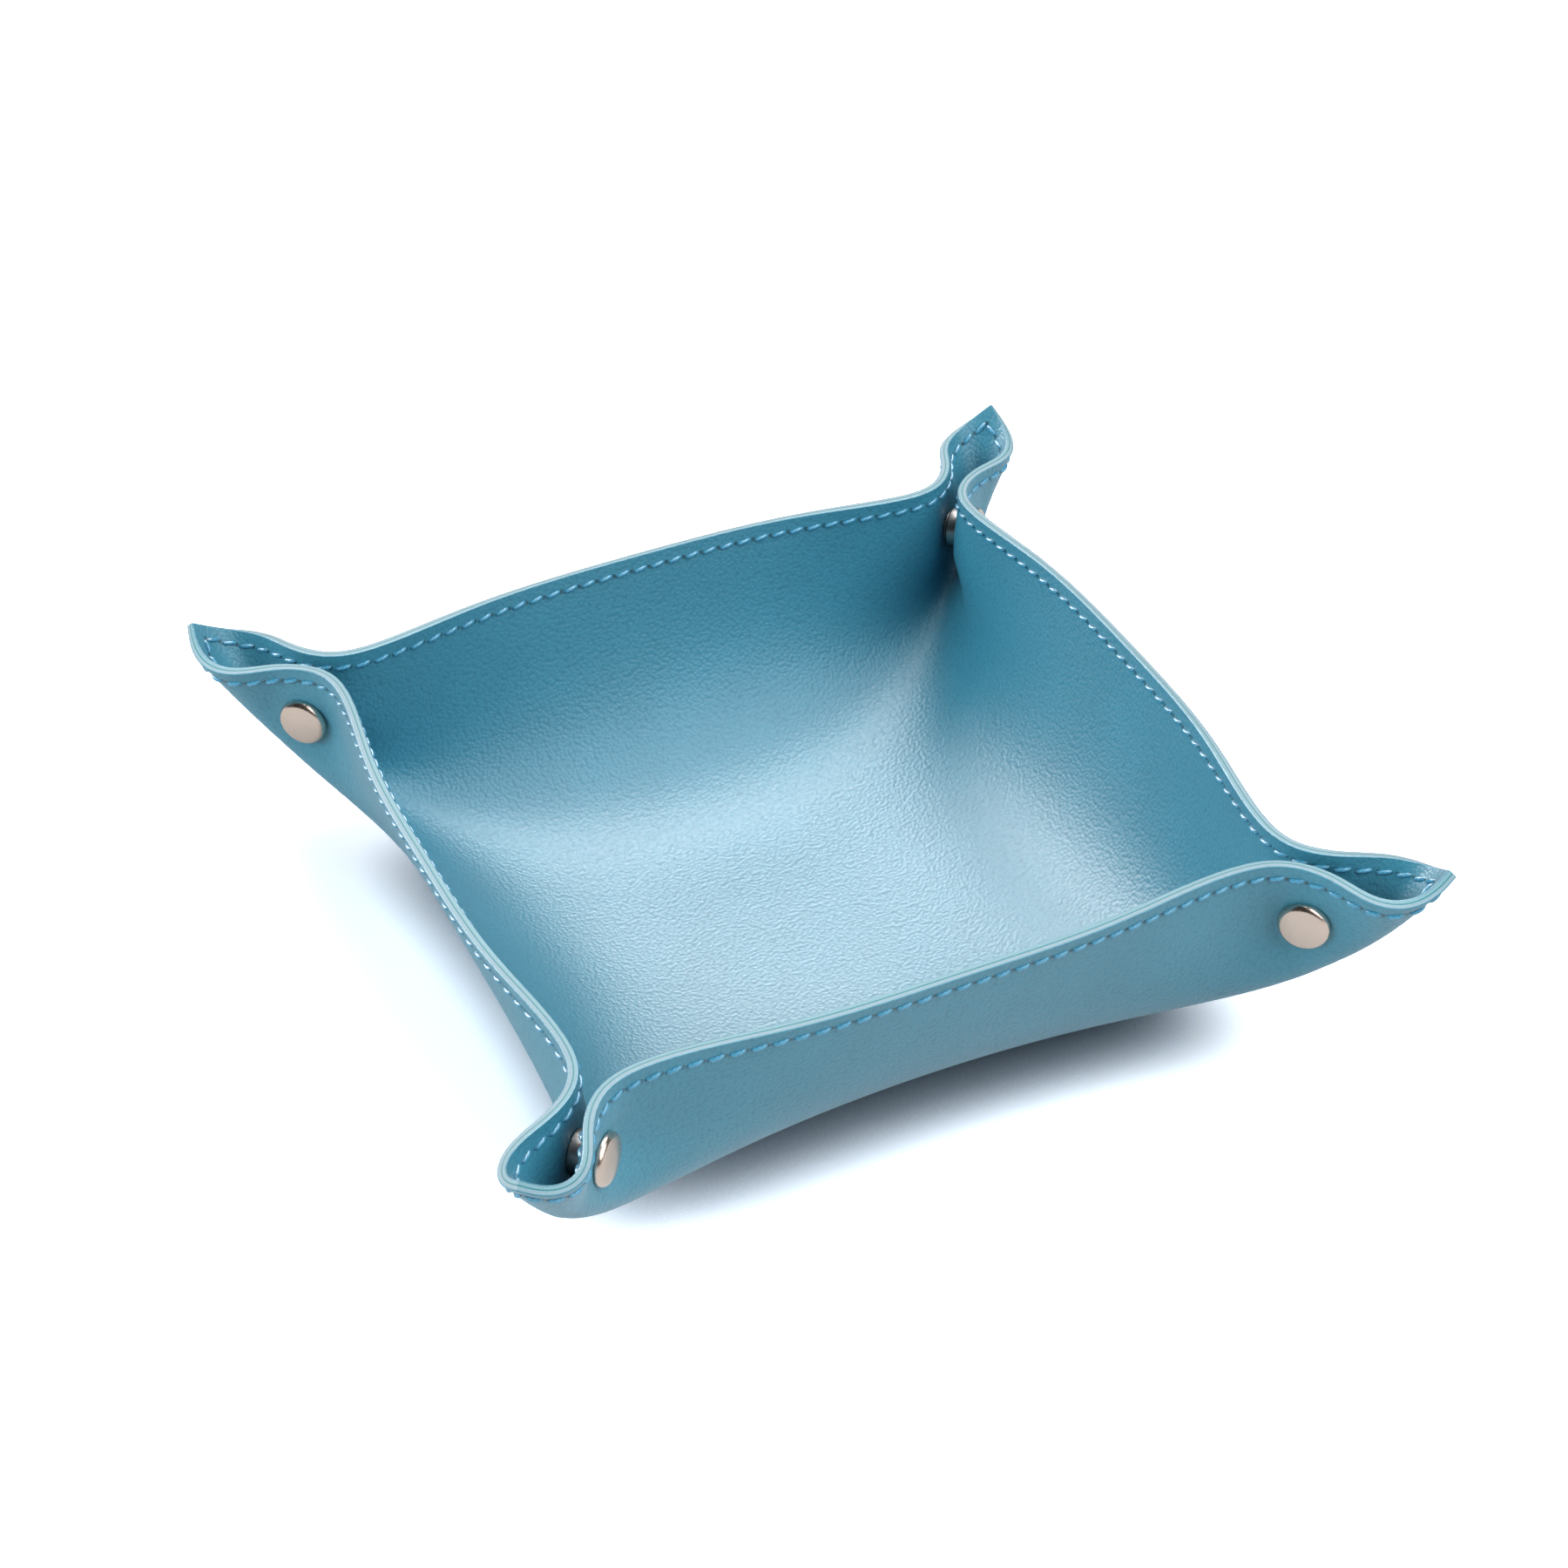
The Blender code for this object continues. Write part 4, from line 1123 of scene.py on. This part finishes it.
def stitch_tree():
    """Nodes that lay stitches at even steps along each guide line, bent with the leather and slanted."""
    tree = bpy.data.node_groups.new("lockstitches", "GeometryNodeTree")
    face = tree.interface
    face.new_socket("Geometry", in_out="INPUT", socket_type="NodeSocketGeometry")
    for label, kind in (("Stitches", "Int"), ("Length", "Float"), ("Pitch", "Float"), ("Radius", "Float"),
                        ("Slant", "Float"), ("Rise", "Float"), ("Material", "Material")):
        face.new_socket(label, in_out="INPUT", socket_type=f"NodeSocket{kind}")
    face.new_socket("Geometry", in_out="OUTPUT", socket_type="NodeSocketGeometry")
    given = add_node(tree, "NodeGroupInput")
    result = add_node(tree, "NodeGroupOutput")

    # A short line for each stitch
    guide = add_node(tree, "GeometryNodeMeshToCurve")
    places = add_node(tree, "GeometryNodeResampleCurve")
    line = add_node(tree, "GeometryNodeCurvePrimitiveLine")
    steps = add_node(tree, "GeometryNodeResampleCurve", [("Count", STITCH_RINGS)])
    spread = add_node(tree, "GeometryNodeInstanceOnPoints")
    index = add_node(tree, "GeometryNodeInputIndex")
    number = add_node(tree, "GeometryNodeStoreNamedAttribute", [("Name", "stitch")], data_type="INT",
                      domain="INSTANCE")
    lines = add_node(tree, "GeometryNodeRealizeInstances")
    chain(tree,
          (given.outputs["Geometry"], guide.inputs["Mesh"]),
          (guide.outputs[0], places.inputs["Curve"]),
          (given.outputs["Stitches"], places.inputs["Count"]),
          (line.outputs[0], steps.inputs["Curve"]),
          (places.outputs[0], spread.inputs["Points"]),
          (steps.outputs[0], spread.inputs["Instance"]),
          (spread.outputs[0], number.inputs["Geometry"]),
          (index.outputs[0], number.inputs["Value"]),
          (number.outputs[0], lines.inputs["Geometry"]))

    # Place of each of its points on the guide
    parameter = add_node(tree, "GeometryNodeSplineParameter")
    stitch = add_node(tree, "GeometryNodeInputNamedAttribute", [("Name", "stitch")], data_type="INT")
    out = add_node(tree, "GeometryNodeInputNamedAttribute", [("Name", "out")], data_type="FLOAT_VECTOR")
    centred = calculate(tree, "SUBTRACT", parameter.outputs["Factor"], 0.5)
    line_number = calculate(tree, "FLOOR", calculate(tree, "DIVIDE", stitch.outputs["Attribute"],
                                                     given.outputs["Stitches"]))
    step = calculate(tree, "MODULO", stitch.outputs["Attribute"], given.outputs["Stitches"])
    length_share = calculate(tree, "DIVIDE", given.outputs["Length"], given.outputs["Pitch"])
    step = calculate(tree, "ADD", calculate(tree, "ADD", step, 0.5),
                     calculate(tree, "MULTIPLY", centred, length_share))
    sample = add_node(tree, "GeometryNodeSampleCurve", mode="FACTOR", data_type="FLOAT_VECTOR")
    chain(tree,
          (guide.outputs[0], sample.inputs["Curves"]),
          (out.outputs["Attribute"], sample.inputs["Value"]),
          (calculate(tree, "DIVIDE", step, given.outputs["Stitches"]), sample.inputs["Factor"]),
          (line_number, sample.inputs["Curve Index"]))

    # Arched over the leather, slanted, and thinner at both ends
    off_middle = calculate(tree, "ABSOLUTE", calculate(tree, "MULTIPLY", centred, 2))
    fullness = calculate(tree, "SUBTRACT", 1, calculate(tree, "POWER", off_middle, 3))
    lean = calculate(tree, "MULTIPLY", calculate(tree, "MULTIPLY", centred, given.outputs["Length"]),
                     calculate(tree, "SINE", given.outputs["Slant"]))
    sideways = add_node(tree, "ShaderNodeVectorMath", operation="CROSS_PRODUCT")
    raised = add_node(tree, "ShaderNodeVectorMath", operation="SCALE")
    leaning = add_node(tree, "ShaderNodeVectorMath", operation="SCALE")
    offset = add_node(tree, "ShaderNodeVectorMath", operation="ADD")
    place = add_node(tree, "GeometryNodeSetPosition")
    chain(tree,
          (sample.outputs["Value"], sideways.inputs[0]),
          (sample.outputs["Tangent"], sideways.inputs[1]),
          (sample.outputs["Value"], raised.inputs[0]),
          (calculate(tree, "MULTIPLY", fullness, given.outputs["Rise"]), raised.inputs["Scale"]),
          (sideways.outputs[0], leaning.inputs[0]),
          (lean, leaning.inputs["Scale"]),
          (raised.outputs[0], offset.inputs[0]),
          (leaning.outputs[0], offset.inputs[1]),
          (lines.outputs[0], place.inputs["Geometry"]),
          (sample.outputs["Position"], place.inputs["Position"]),
          (offset.outputs[0], place.inputs["Offset"]))

    # The thread along it
    along = add_node(tree, "GeometryNodeStoreNamedAttribute", [("Name", "along")], data_type="FLOAT")
    numbered = add_node(tree, "GeometryNodeStoreNamedAttribute", [("Name", "stitch")], data_type="INT")
    profile = add_node(tree, "GeometryNodeCurvePrimitiveCircle", [("Resolution", STITCH_SIDES)])
    round_place = add_node(tree, "GeometryNodeSplineParameter")
    around = add_node(tree, "GeometryNodeStoreNamedAttribute", [("Name", "around")], data_type="FLOAT")
    width = add_node(tree, "ShaderNodeMapRange", [("To Min", STITCH_END_SHARE)])
    body = add_node(tree, "GeometryNodeCurveToMesh", [("Fill Caps", True)])
    smooth = add_node(tree, "GeometryNodeSetShadeSmooth")
    realize = add_node(tree, "GeometryNodeRealizeInstances")
    finish = add_node(tree, "GeometryNodeSetMaterial")
    chain(tree,
          (place.outputs[0], along.inputs["Geometry"]),
          (parameter.outputs["Factor"], along.inputs["Value"]),
          (along.outputs[0], numbered.inputs["Geometry"]),
          (stitch.outputs["Attribute"], numbered.inputs["Value"]),
          (given.outputs["Radius"], profile.inputs["Radius"]),
          (profile.outputs[0], around.inputs["Geometry"]),
          (round_place.outputs["Factor"], around.inputs["Value"]),
          (numbered.outputs[0], body.inputs["Curve"]),
          (around.outputs[0], body.inputs["Profile Curve"]),
          (fullness, width.inputs["Value"]),
          (width.outputs["Result"], body.inputs["Scale"]),
          (body.outputs[0], smooth.inputs["Geometry"]),
          (smooth.outputs[0], realize.inputs["Geometry"]),
          (realize.outputs[0], finish.inputs["Geometry"]),
          (given.outputs["Material"], finish.inputs["Material"]),
          (finish.outputs[0], result.inputs["Geometry"]))
    return tree


def sewn_mesh(guide, tree, values):
    """The guide's stitches as one plain mesh."""
    holder = object_from("seam_holder", guide, [])
    modifier = holder.modifiers.new("lockstitches", "NODES")
    modifier.node_group = tree
    for item in tree.interface.items_tree:
        if item.in_out == "INPUT" and item.name in values:
            modifier[item.identifier] = values[item.name]
    mesh = plain_copy(holder)
    bpy.data.objects.remove(holder)
    return mesh


def keep_stitches(mesh, name, wanted):
    """Copy of a seam's mesh with only the wanted stitches."""
    copy = mesh.copy()
    copy.name = name
    bm = bmesh.new()
    bm.from_mesh(copy)
    number = bm.verts.layers.int["stitch"]
    others = [vertex for vertex in bm.verts if vertex[number] not in wanted]
    bmesh.ops.delete(bm, geom=others, context="VERTS")
    bm.to_mesh(copy)
    bm.free()
    return copy


def make_seam(label, node, side, thickness):
    """One face's stitches, shared out among the parts of the leather that they are sewn to."""
    s = sizes()
    grid = SheetGrid(s)
    bending = Bending(s, grid.sheet)
    material = thread_material(f"{label}_thread", colours().thread)
    pitch = 2 * (grid.sheet.half - s.stitch_from_edge) / s.stitches_per_side
    values = {"Stitches": s.stitches_per_side, "Length": s.stitch_length, "Pitch": pitch,
              "Radius": s.thread_radius, "Slant": s.stitch_slant,
              "Rise": s.seam_groove + s.thread_radius + THREAD_PROUD, "Material": material}
    mesh = sewn_mesh(seam_guide(grid, s, side, thickness), stitch_tree(), values)
    numbers = np.zeros(len(mesh.vertices), np.int32)
    mesh.attributes["stitch"].data.foreach_get("value", numbers)
    points = np.zeros(len(mesh.vertices) * 3, np.float32)
    mesh.vertices.foreach_get("co", points)
    points = points.reshape(-1, 3)
    centres = {int(i): Vector(points[numbers == i].mean(0)) for i in np.unique(numbers)}
    for region in regions():
        mine = {i for i, centre in centres.items() if region.holds(np.array(centre.x), np.array(centre.y))}
        for part in PARTS:
            wanted = {i for i in mine if bending.least(region, centres[i]) == part}
            if not wanted:
                continue
            name = f"{label}_{region.wall}_{part}_{region.corner}"
            piece = object_from(name, keep_stitches(mesh, name, wanted), [])
            bend(piece, bending, region, part)
            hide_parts(node)
    bpy.data.meshes.remove(mesh)


class TRAY_OT_seam(bpy.types.Operator):
    """Lockstitches on both faces, all round the edge"""

    bl_idname = "tray.seam"
    bl_label = "Seam"

    def execute(self, context):
        s = sizes()
        make_seam("needle_stitches", "thread_needle", -1, s.outer_thickness)
        make_seam("bobbin_stitches", "thread_bobbin", 1, s.lining_thickness)
        return {"FINISHED"}


# Snap fasteners, measured along their axis from the plane in which the halves meet

SEAT_GAP = 0.2 * MM
CAP_SHELL = 0.45 * MM
CAP_SHOULDER = 1.3 * MM
CAP_CROWN = 0.42 * MM
CAP_RIM = 0.22 * MM
POST_FLANGE = 0.4 * MM
POST_FLANGE_RADIUS = 3.8 * MM
POST_RADIUS = 1.0 * MM
RIVET_HEAD = 0.3 * MM
RIVET_HEAD_RADIUS = 1.6 * MM
SOCKET_RADIUS = 4.2 * MM
SOCKET_BASE = 0.4 * MM
SOCKET_LIP = 0.2 * MM
SOCKET_ROUND = 0.4 * MM
SPRING_WIRE = 0.25 * MM
SPRING_GAP_ANGLE = math.radians(36)
GROOVE_RADIUS = 2.6 * MM
STUD_HEAD_RADIUS = 1.75 * MM
STUD_NECK_RADIUS = 1.55 * MM
STUD_FLANGE_RADIUS = 3.4 * MM
STUD_FLANGE = 0.3 * MM
STUD_TIP = 0.4 * MM
STUD_TIP_WALL = 0.55 * MM
TURNED_SIDES = 48
ARC_STEPS = 6


def leather_faces(s):
    """Distances of the lining's and the outer leather's faces from the plane where the halves meet."""
    inner = s.snap_grip / 2
    return inner, inner + s.lining_thickness + s.outer_thickness


def cap_profile(s):
    """Low domed cap with a round shoulder and a rolled rim, hollow underneath."""
    seat = leather_faces(s)[1] + SEAT_GAP / 2
    top = seat + s.cap_height
    flat = s.cap_radius - CAP_SHOULDER
    ball = (flat ** 2 + CAP_CROWN ** 2) / (2 * CAP_CROWN)
    crown = []
    for i in range(2 * ARC_STEPS):
        radius = flat * i / (2 * ARC_STEPS)
        crown.append((radius, top - ball + math.sqrt(ball ** 2 - radius ** 2)))
    crown_end = 90 - math.degrees(math.asin(flat / ball))
    shoulder = arc((flat, top - CAP_CROWN - CAP_SHOULDER), CAP_SHOULDER, crown_end, 0, 2 * ARC_STEPS)
    rim = arc((s.cap_radius - CAP_RIM, seat + CAP_RIM), CAP_RIM, 0, -180, ARC_STEPS)
    inner = rim[-1][0]
    ceiling = top - CAP_CROWN - CAP_SHELL
    inside = [(inner, ceiling - CAP_SHOULDER), (inner - CAP_SHOULDER / 2, ceiling), (0, top - CAP_SHELL)]
    return crown + shoulder + rim + inside


def post_head(s, bottom):
    seat = leather_faces(s)[1] + SEAT_GAP
    flange_top = seat + POST_FLANGE
    radius = POST_FLANGE / 2
    edge = arc((POST_FLANGE_RADIUS - radius, seat + radius), radius, 90, -90, ARC_STEPS)
    return [(0, flange_top)] + edge + [(POST_RADIUS, seat), (POST_RADIUS, bottom)]


def rivet_profile(s):
    """Post of the socket half, with its end spread into a round-edged head."""
    top = leather_faces(s)[0] - 2 * SEAT_GAP - SOCKET_BASE
    radius = RIVET_HEAD / 2
    edge = arc((RIVET_HEAD_RADIUS - radius, top - radius), radius, 90, -90, ARC_STEPS)
    return post_head(s, top) + edge + [(0, top - RIVET_HEAD)]


def stud_post_profile(s):
    bottom = STUD_TIP_WALL - STUD_TIP + SEAT_GAP
    return post_head(s, bottom) + [(0, bottom)]


def socket_mouth(s):
    return 2 * SEAT_GAP + STUD_FLANGE - leather_faces(s)[0]


def spring_height(s):
    return socket_mouth(s) + SOCKET_LIP + SEAT_GAP + SPRING_WIRE


def socket_profile(s):
    """Socket ring with a rounded outer edge, a lip at its mouth and the spring's groove behind it."""
    back = leather_faces(s)[0] - SEAT_GAP
    floor = back - SOCKET_BASE
    mouth = socket_mouth(s)
    throat = STUD_HEAD_RADIUS + SEAT_GAP
    hole = POST_RADIUS + SEAT_GAP
    lip_top = mouth + SOCKET_LIP
    groove_top = spring_height(s) + SPRING_WIRE + SEAT_GAP
    outer = arc((SOCKET_RADIUS - SOCKET_ROUND, mouth + SOCKET_ROUND), SOCKET_ROUND, 0, -90, ARC_STEPS)
    lip = arc((throat + SOCKET_LIP / 2, mouth + SOCKET_LIP / 2), SOCKET_LIP / 2, -90, -270, ARC_STEPS)
    return [(SOCKET_RADIUS, back)] + outer + lip + [(GROOVE_RADIUS, lip_top), (GROOVE_RADIUS, groove_top),
                                                    (throat, groove_top), (throat, floor), (hole, floor),
                                                    (hole, back)]


def stud_profile(s):
    """Hollow stud: flange against the lining, a neck and a round head."""
    back = leather_faces(s)[0] - SEAT_GAP
    flange_bottom = back - STUD_FLANGE
    hole = POST_RADIUS + SEAT_GAP
    neck = (flange_bottom - STUD_TIP) / 2
    head_round = STUD_HEAD_RADIUS - hole
    head = arc((hole, head_round - STUD_TIP), head_round, 0, -90, ARC_STEPS)
    radius = STUD_FLANGE / 2
    edge = arc((STUD_FLANGE_RADIUS - radius, back - radius), radius, 90, -90, ARC_STEPS)
    return edge + [(STUD_NECK_RADIUS, flange_bottom), (STUD_NECK_RADIUS, neck)] + head + [
        (0, -STUD_TIP), (0, STUD_TIP_WALL - STUD_TIP), (hole, STUD_TIP_WALL - STUD_TIP), (hole, back)]


def spring_mesh(name, s, place):
    """Split ring of round wire in the socket's groove."""
    radius = STUD_HEAD_RADIUS + SPRING_WIRE + SEAT_GAP / 4
    curve = bpy.data.curves.new(name, "CURVE")
    curve.dimensions = "3D"
    curve.bevel_depth = SPRING_WIRE
    curve.bevel_resolution = 3
    curve.use_fill_caps = True
    spline = curve.splines.new("POLY")
    spline.points.add(TURNED_SIDES - 1)
    sweep = 2 * math.pi - SPRING_GAP_ANGLE
    for i, point in enumerate(spline.points):
        angle = SPRING_GAP_ANGLE / 2 + sweep * i / (TURNED_SIDES - 1)
        point.co = (radius * math.cos(angle), radius * math.sin(angle), spring_height(s), 1)
    holder = bpy.data.objects.new(name, curve)
    bpy.context.scene.collection.objects.link(holder)
    depsgraph = bpy.context.evaluated_depsgraph_get()
    mesh = bpy.data.meshes.new_from_object(holder.evaluated_get(depsgraph))
    bpy.data.objects.remove(holder)
    bm = bmesh.new()
    bm.from_mesh(mesh)
    bmesh.ops.remove_doubles(bm, verts=bm.verts, dist=TINY)
    bm.transform(place)
    bm.to_mesh(mesh)
    bm.free()
    mesh.shade_smooth()
    return mesh


def seat_piece(mesh, name, node, region, material):
    piece = object_from(name, mesh, [material])
    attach(piece, region.body)
    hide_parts(node)


class TRAY_OT_caps(bpy.types.Operator):
    """Domed caps on the outside of both snap halves"""

    bl_idname = "tray.caps"
    bl_label = "Caps"

    def execute(self, context):
        s = sizes()
        sheet = FormedSheet(s)
        material = metal_material("nickel_cap", colours().nickel, roughness=0.20, scratch=0.08)
        for region in regions():
            half = "socket" if region.axis == 0 else "stud"
            name = f"cap_{region.wall}_wall_{region.corner}"
            mesh = turned_mesh(name, cap_profile(s), TURNED_SIDES, snap_place(sheet, region))
            seat_piece(mesh, name, f"cap_{half}_{region.corner}", region, material)
        return {"FINISHED"}


class TRAY_OT_snap_works(bpy.types.Operator):
    """Posts, sockets, springs and studs inside the pinched corners"""

    bl_idname = "tray.snap_works"
    bl_label = "Snap Works"

    def execute(self, context):
        s = sizes()
        sheet = FormedSheet(s)
        # The works' plating colour carries painted shade for the inside of the pinched ears
        material = metal_material("plated_steel", colours().steel_and_pocket_shade, roughness=0.28, scratch=0.12)
        pieces = {0: {"rivet": rivet_profile(s), "socket": socket_profile(s)},
                  1: {"stud_post": stud_post_profile(s), "stud": stud_profile(s)}}
        for region in regions():
            place = snap_place(sheet, region)
            for kind, profile in pieces[region.axis].items():
                name = f"turned_{kind}_{region.corner}"
                mesh = turned_mesh(name, profile, TURNED_SIDES, place)
                seat_piece(mesh, name, f"{kind}_{region.corner}", region, material)
            if region.axis == 0:
                name = f"ring_spring_{region.corner}"
                seat_piece(spring_mesh(name, s, place), name, f"spring_{region.corner}", region, material)
        return {"FINISHED"}


# Stage

FLOOR_SIZE = 6.0
FLOOR_COLOUR = (0.74, 0.75, 0.76, 1)
FLOOR_SHOWN = (1.86, 1.93, 2.05, 1)
CONTACT_SHADOW = (0.24, 0.28, 0.33, 1)
CONTACT_REACH = 15 * MM
# Each softbox: its setting, azimuth with 0 at the front, height above the floor, angle it spans and share
SOFTBOXES = (
    ("front_light", 45, 46, 56, 1.0),
    ("left_light", -92, 24, 40, 1.0),
    ("left_light", -135, 58, 44, 0.22),
)
# Lamps that only glossy surfaces show, in the same terms. The first two run overhead from behind the tray
STRIP = (
    (152, 54, 40, 0.78),
    (138, 66, 40, 0.75),
    (-150, 28, 40, 1.40),
    (30, 48, 60, 0.45),
)
LAMP_DISTANCE = 2.0
HORIZON_GLOSS = 1.0
ZENITH_GLOSS = 0.04
HORIZON_TOP = 0.20
SENSOR = 36
CLIP_START = 10 * MM
CLIP_END = 20.0


def direction(azimuth, height):
    """Unit vector towards a place in the studio, azimuth 0 at the front."""
    level = math.cos(height)
    return Vector((math.sin(azimuth) * level, -math.cos(azimuth) * level, math.sin(height)))


def light_path(tree):
    """Light path node, and an output that is 1 for a ray straight from the camera or through glass."""
    path = add_node(tree, "ShaderNodeLightPath")
    seen = calculate(tree, "MAXIMUM", path.outputs["Is Camera Ray"], path.outputs["Is Transmission Ray"])
    return path, seen


def floor_material():
    """Pale paper. The camera sees it well exposed: white where it is lit, with a bluish shadow."""
    material, tree, shader = new_material("studio_paper")
    tree.nodes.remove(shader)
    seen = light_path(tree)[1]
    place = add_node(tree, "ShaderNodeTexCoord")
    tooth = add_node(tree, "ShaderNodeTexNoise", [("Scale", 900), ("Detail", 3)])
    bump = add_node(tree, "ShaderNodeBump", [("Strength", 0.03), ("Distance", 0.05 * MM)])
    paper = add_node(tree, "ShaderNodeMix", data_type="RGBA", clamp_result=False)
    paper.inputs["A"].default_value = FLOOR_COLOUR
    shown = add_node(tree, "ShaderNodeMix", data_type="RGBA", clamp_result=False)
    shown.inputs["A"].default_value = CONTACT_SHADOW
    shown.inputs["B"].default_value = FLOOR_SHOWN
    contact = add_node(tree, "ShaderNodeAmbientOcclusion", [("Distance", CONTACT_REACH)], samples=8)
    open_share = add_node(tree, "ShaderNodeMapRange", [("From Min", 0.3), ("From Max", 0.95)])
    matt = add_node(tree, "ShaderNodeBsdfDiffuse")
    chain(tree,
          (place.outputs["Object"], tooth.inputs["Vector"]),
          (tooth.outputs["Fac"], bump.inputs["Height"]),
          (bump.outputs["Normal"], matt.inputs["Normal"]),
          (contact.outputs["AO"], open_share.inputs["Value"]),
          (open_share.outputs["Result"], shown.inputs["Factor"]),
          (shown.outputs["Result"], paper.inputs["B"]),
          (seen, paper.inputs["Factor"]),
          (paper.outputs["Result"], matt.inputs["Color"]),
          (matt.outputs["BSDF"], tree.nodes["Material Output"].inputs["Surface"]))
    return material


def light_world(fill):
    """White surround for the camera, a weak fill, and reflections that darken from the horizon upwards."""
    world = bpy.data.worlds.new("studio")
    world.use_nodes = True
    tree = world.node_tree
    background = tree.nodes["Background"]
    background.inputs["Color"].default_value = (1, 1, 1, 1)
    path, seen = light_path(tree)
    place = add_node(tree, "ShaderNodeTexCoord")
    height = add_node(tree, "ShaderNodeSeparateXYZ")
    gloss = add_node(tree, "ShaderNodeMapRange", [("From Max", HORIZON_TOP), ("To Min", HORIZON_GLOSS),
                                                  ("To Max", ZENITH_GLOSS)], interpolation_type="SMOOTHSTEP")
    glossy = add_node(tree, "ShaderNodeMix", [("A", fill)], data_type="FLOAT")
    strength = add_node(tree, "ShaderNodeMix", [("B", 1.0)], data_type="FLOAT")
    chain(tree,
          (place.outputs["Generated"], height.inputs["Vector"]),
          (height.outputs["Z"], gloss.inputs["Value"]),
          (gloss.outputs["Result"], glossy.inputs["B"]),
          (path.outputs["Is Glossy Ray"], glossy.inputs["Factor"]),
          (glossy.outputs["Result"], strength.inputs["A"]),
          (seen, strength.inputs["Factor"]),
          (strength.outputs["Result"], background.inputs["Strength"]))
    bpy.context.scene.world = world


def add_softbox(name, azimuth, height, span, light, gloss_only=False):
    lamp = bpy.data.lights.new(name, "SUN")
    lamp.energy = light * math.pi
    lamp.angle = math.radians(span)
    towards = direction(math.radians(azimuth), math.radians(height))
    softbox = bpy.data.objects.new(name, lamp)
    rotation = towards.to_track_quat("Z", "Y").to_matrix().to_4x4()
    softbox.matrix_world = Matrix.Translation(towards * LAMP_DISTANCE) @ rotation
    softbox.visible_diffuse = not gloss_only
    softbox.visible_glossy = gloss_only
    bpy.context.scene.collection.objects.link(softbox)


def add_camera(studio):
    back = direction(studio.azimuth, studio.elevation)
    right = Vector((math.cos(studio.azimuth), math.sin(studio.azimuth), 0))
    up = back.cross(right)
    cosine, sine = math.cos(studio.roll), math.sin(studio.roll)
    rotation = Matrix((right * cosine + up * sine, up * cosine - right * sine, back)).transposed()
    data = bpy.data.cameras.new("camera")
    data.lens = studio.lens
    data.sensor_width = SENSOR
    data.clip_start = CLIP_START
    data.clip_end = CLIP_END
    camera = bpy.data.objects.new("camera", data)
    place = Vector(studio.target) + back * studio.distance
    camera.matrix_world = Matrix.Translation(place) @ rotation.to_4x4()
    bpy.context.scene.collection.objects.link(camera)
    bpy.context.scene.camera = camera


class TRAY_OT_stage(bpy.types.Operator):
    """Pale floor, soft light and the camera"""

    bl_idname = "tray.stage"
    bl_label = "Stage"

    def execute(self, context):
        studio = context.scene.tray_studio
        bm = bmesh.new()
        bmesh.ops.create_grid(bm, x_segments=1, y_segments=1, size=FLOOR_SIZE / 2)
        mesh = bpy.data.meshes.new("studio_floor")
        bm.to_mesh(mesh)
        bm.free()
        floor = object_from("studio_floor", mesh, [floor_material()])
        light_world(studio.fill)
        for setting, azimuth, height, span, share in SOFTBOXES:
            add_softbox(setting, azimuth, height, span, getattr(studio, setting) * share)
        for azimuth, height, span, share in STRIP:
            add_softbox("strip", azimuth, height, span, studio.strip * share, gloss_only=True)
        add_camera(studio)
        context.scene.view_settings.view_transform = "Standard"
        return {"FINISHED"}


OPERATORS = (TRAY_OT_outer_leather, TRAY_OT_lining, TRAY_OT_seam, TRAY_OT_caps, TRAY_OT_snap_works,
             TRAY_OT_stage)


class TRAY_PT_panel(bpy.types.Panel):
    """Buttons for the tray's pieces, and their sizes and colours"""

    bl_label = "Snap Tray"
    bl_idname = "TRAY_PT_panel"
    bl_space_type = "VIEW_3D"
    bl_region_type = "UI"
    bl_category = "Snap Tray"

    def draw(self, context):
        layout = self.layout
        for operator in OPERATORS:
            layout.operator(operator.bl_idname)
        for group in (context.scene.tray_sizes, context.scene.tray_colours, context.scene.tray_studio):
            box = layout.box()
            for name in group.__annotations__:
                box.prop(group, name)


CLASSES = (TraySizes, TrayColours, StudioSettings, *OPERATORS, TRAY_PT_panel)


def register():
    for item in CLASSES:
        bpy.utils.register_class(item)
    bpy.types.Scene.tray_sizes = PointerProperty(type=TraySizes)
    bpy.types.Scene.tray_colours = PointerProperty(type=TrayColours)
    bpy.types.Scene.tray_studio = PointerProperty(type=StudioSettings)


def unregister():
    del bpy.types.Scene.tray_studio
    del bpy.types.Scene.tray_colours
    del bpy.types.Scene.tray_sizes
    for item in reversed(CLASSES):
        bpy.utils.unregister_class(item)


def main():
    register()
    bpy.ops.tray.outer_leather()
    bpy.ops.tray.lining()
    bpy.ops.tray.seam()
    bpy.ops.tray.caps()
    bpy.ops.tray.snap_works()
    bpy.ops.tray.stage()


if __name__ == "__main__":
    main()
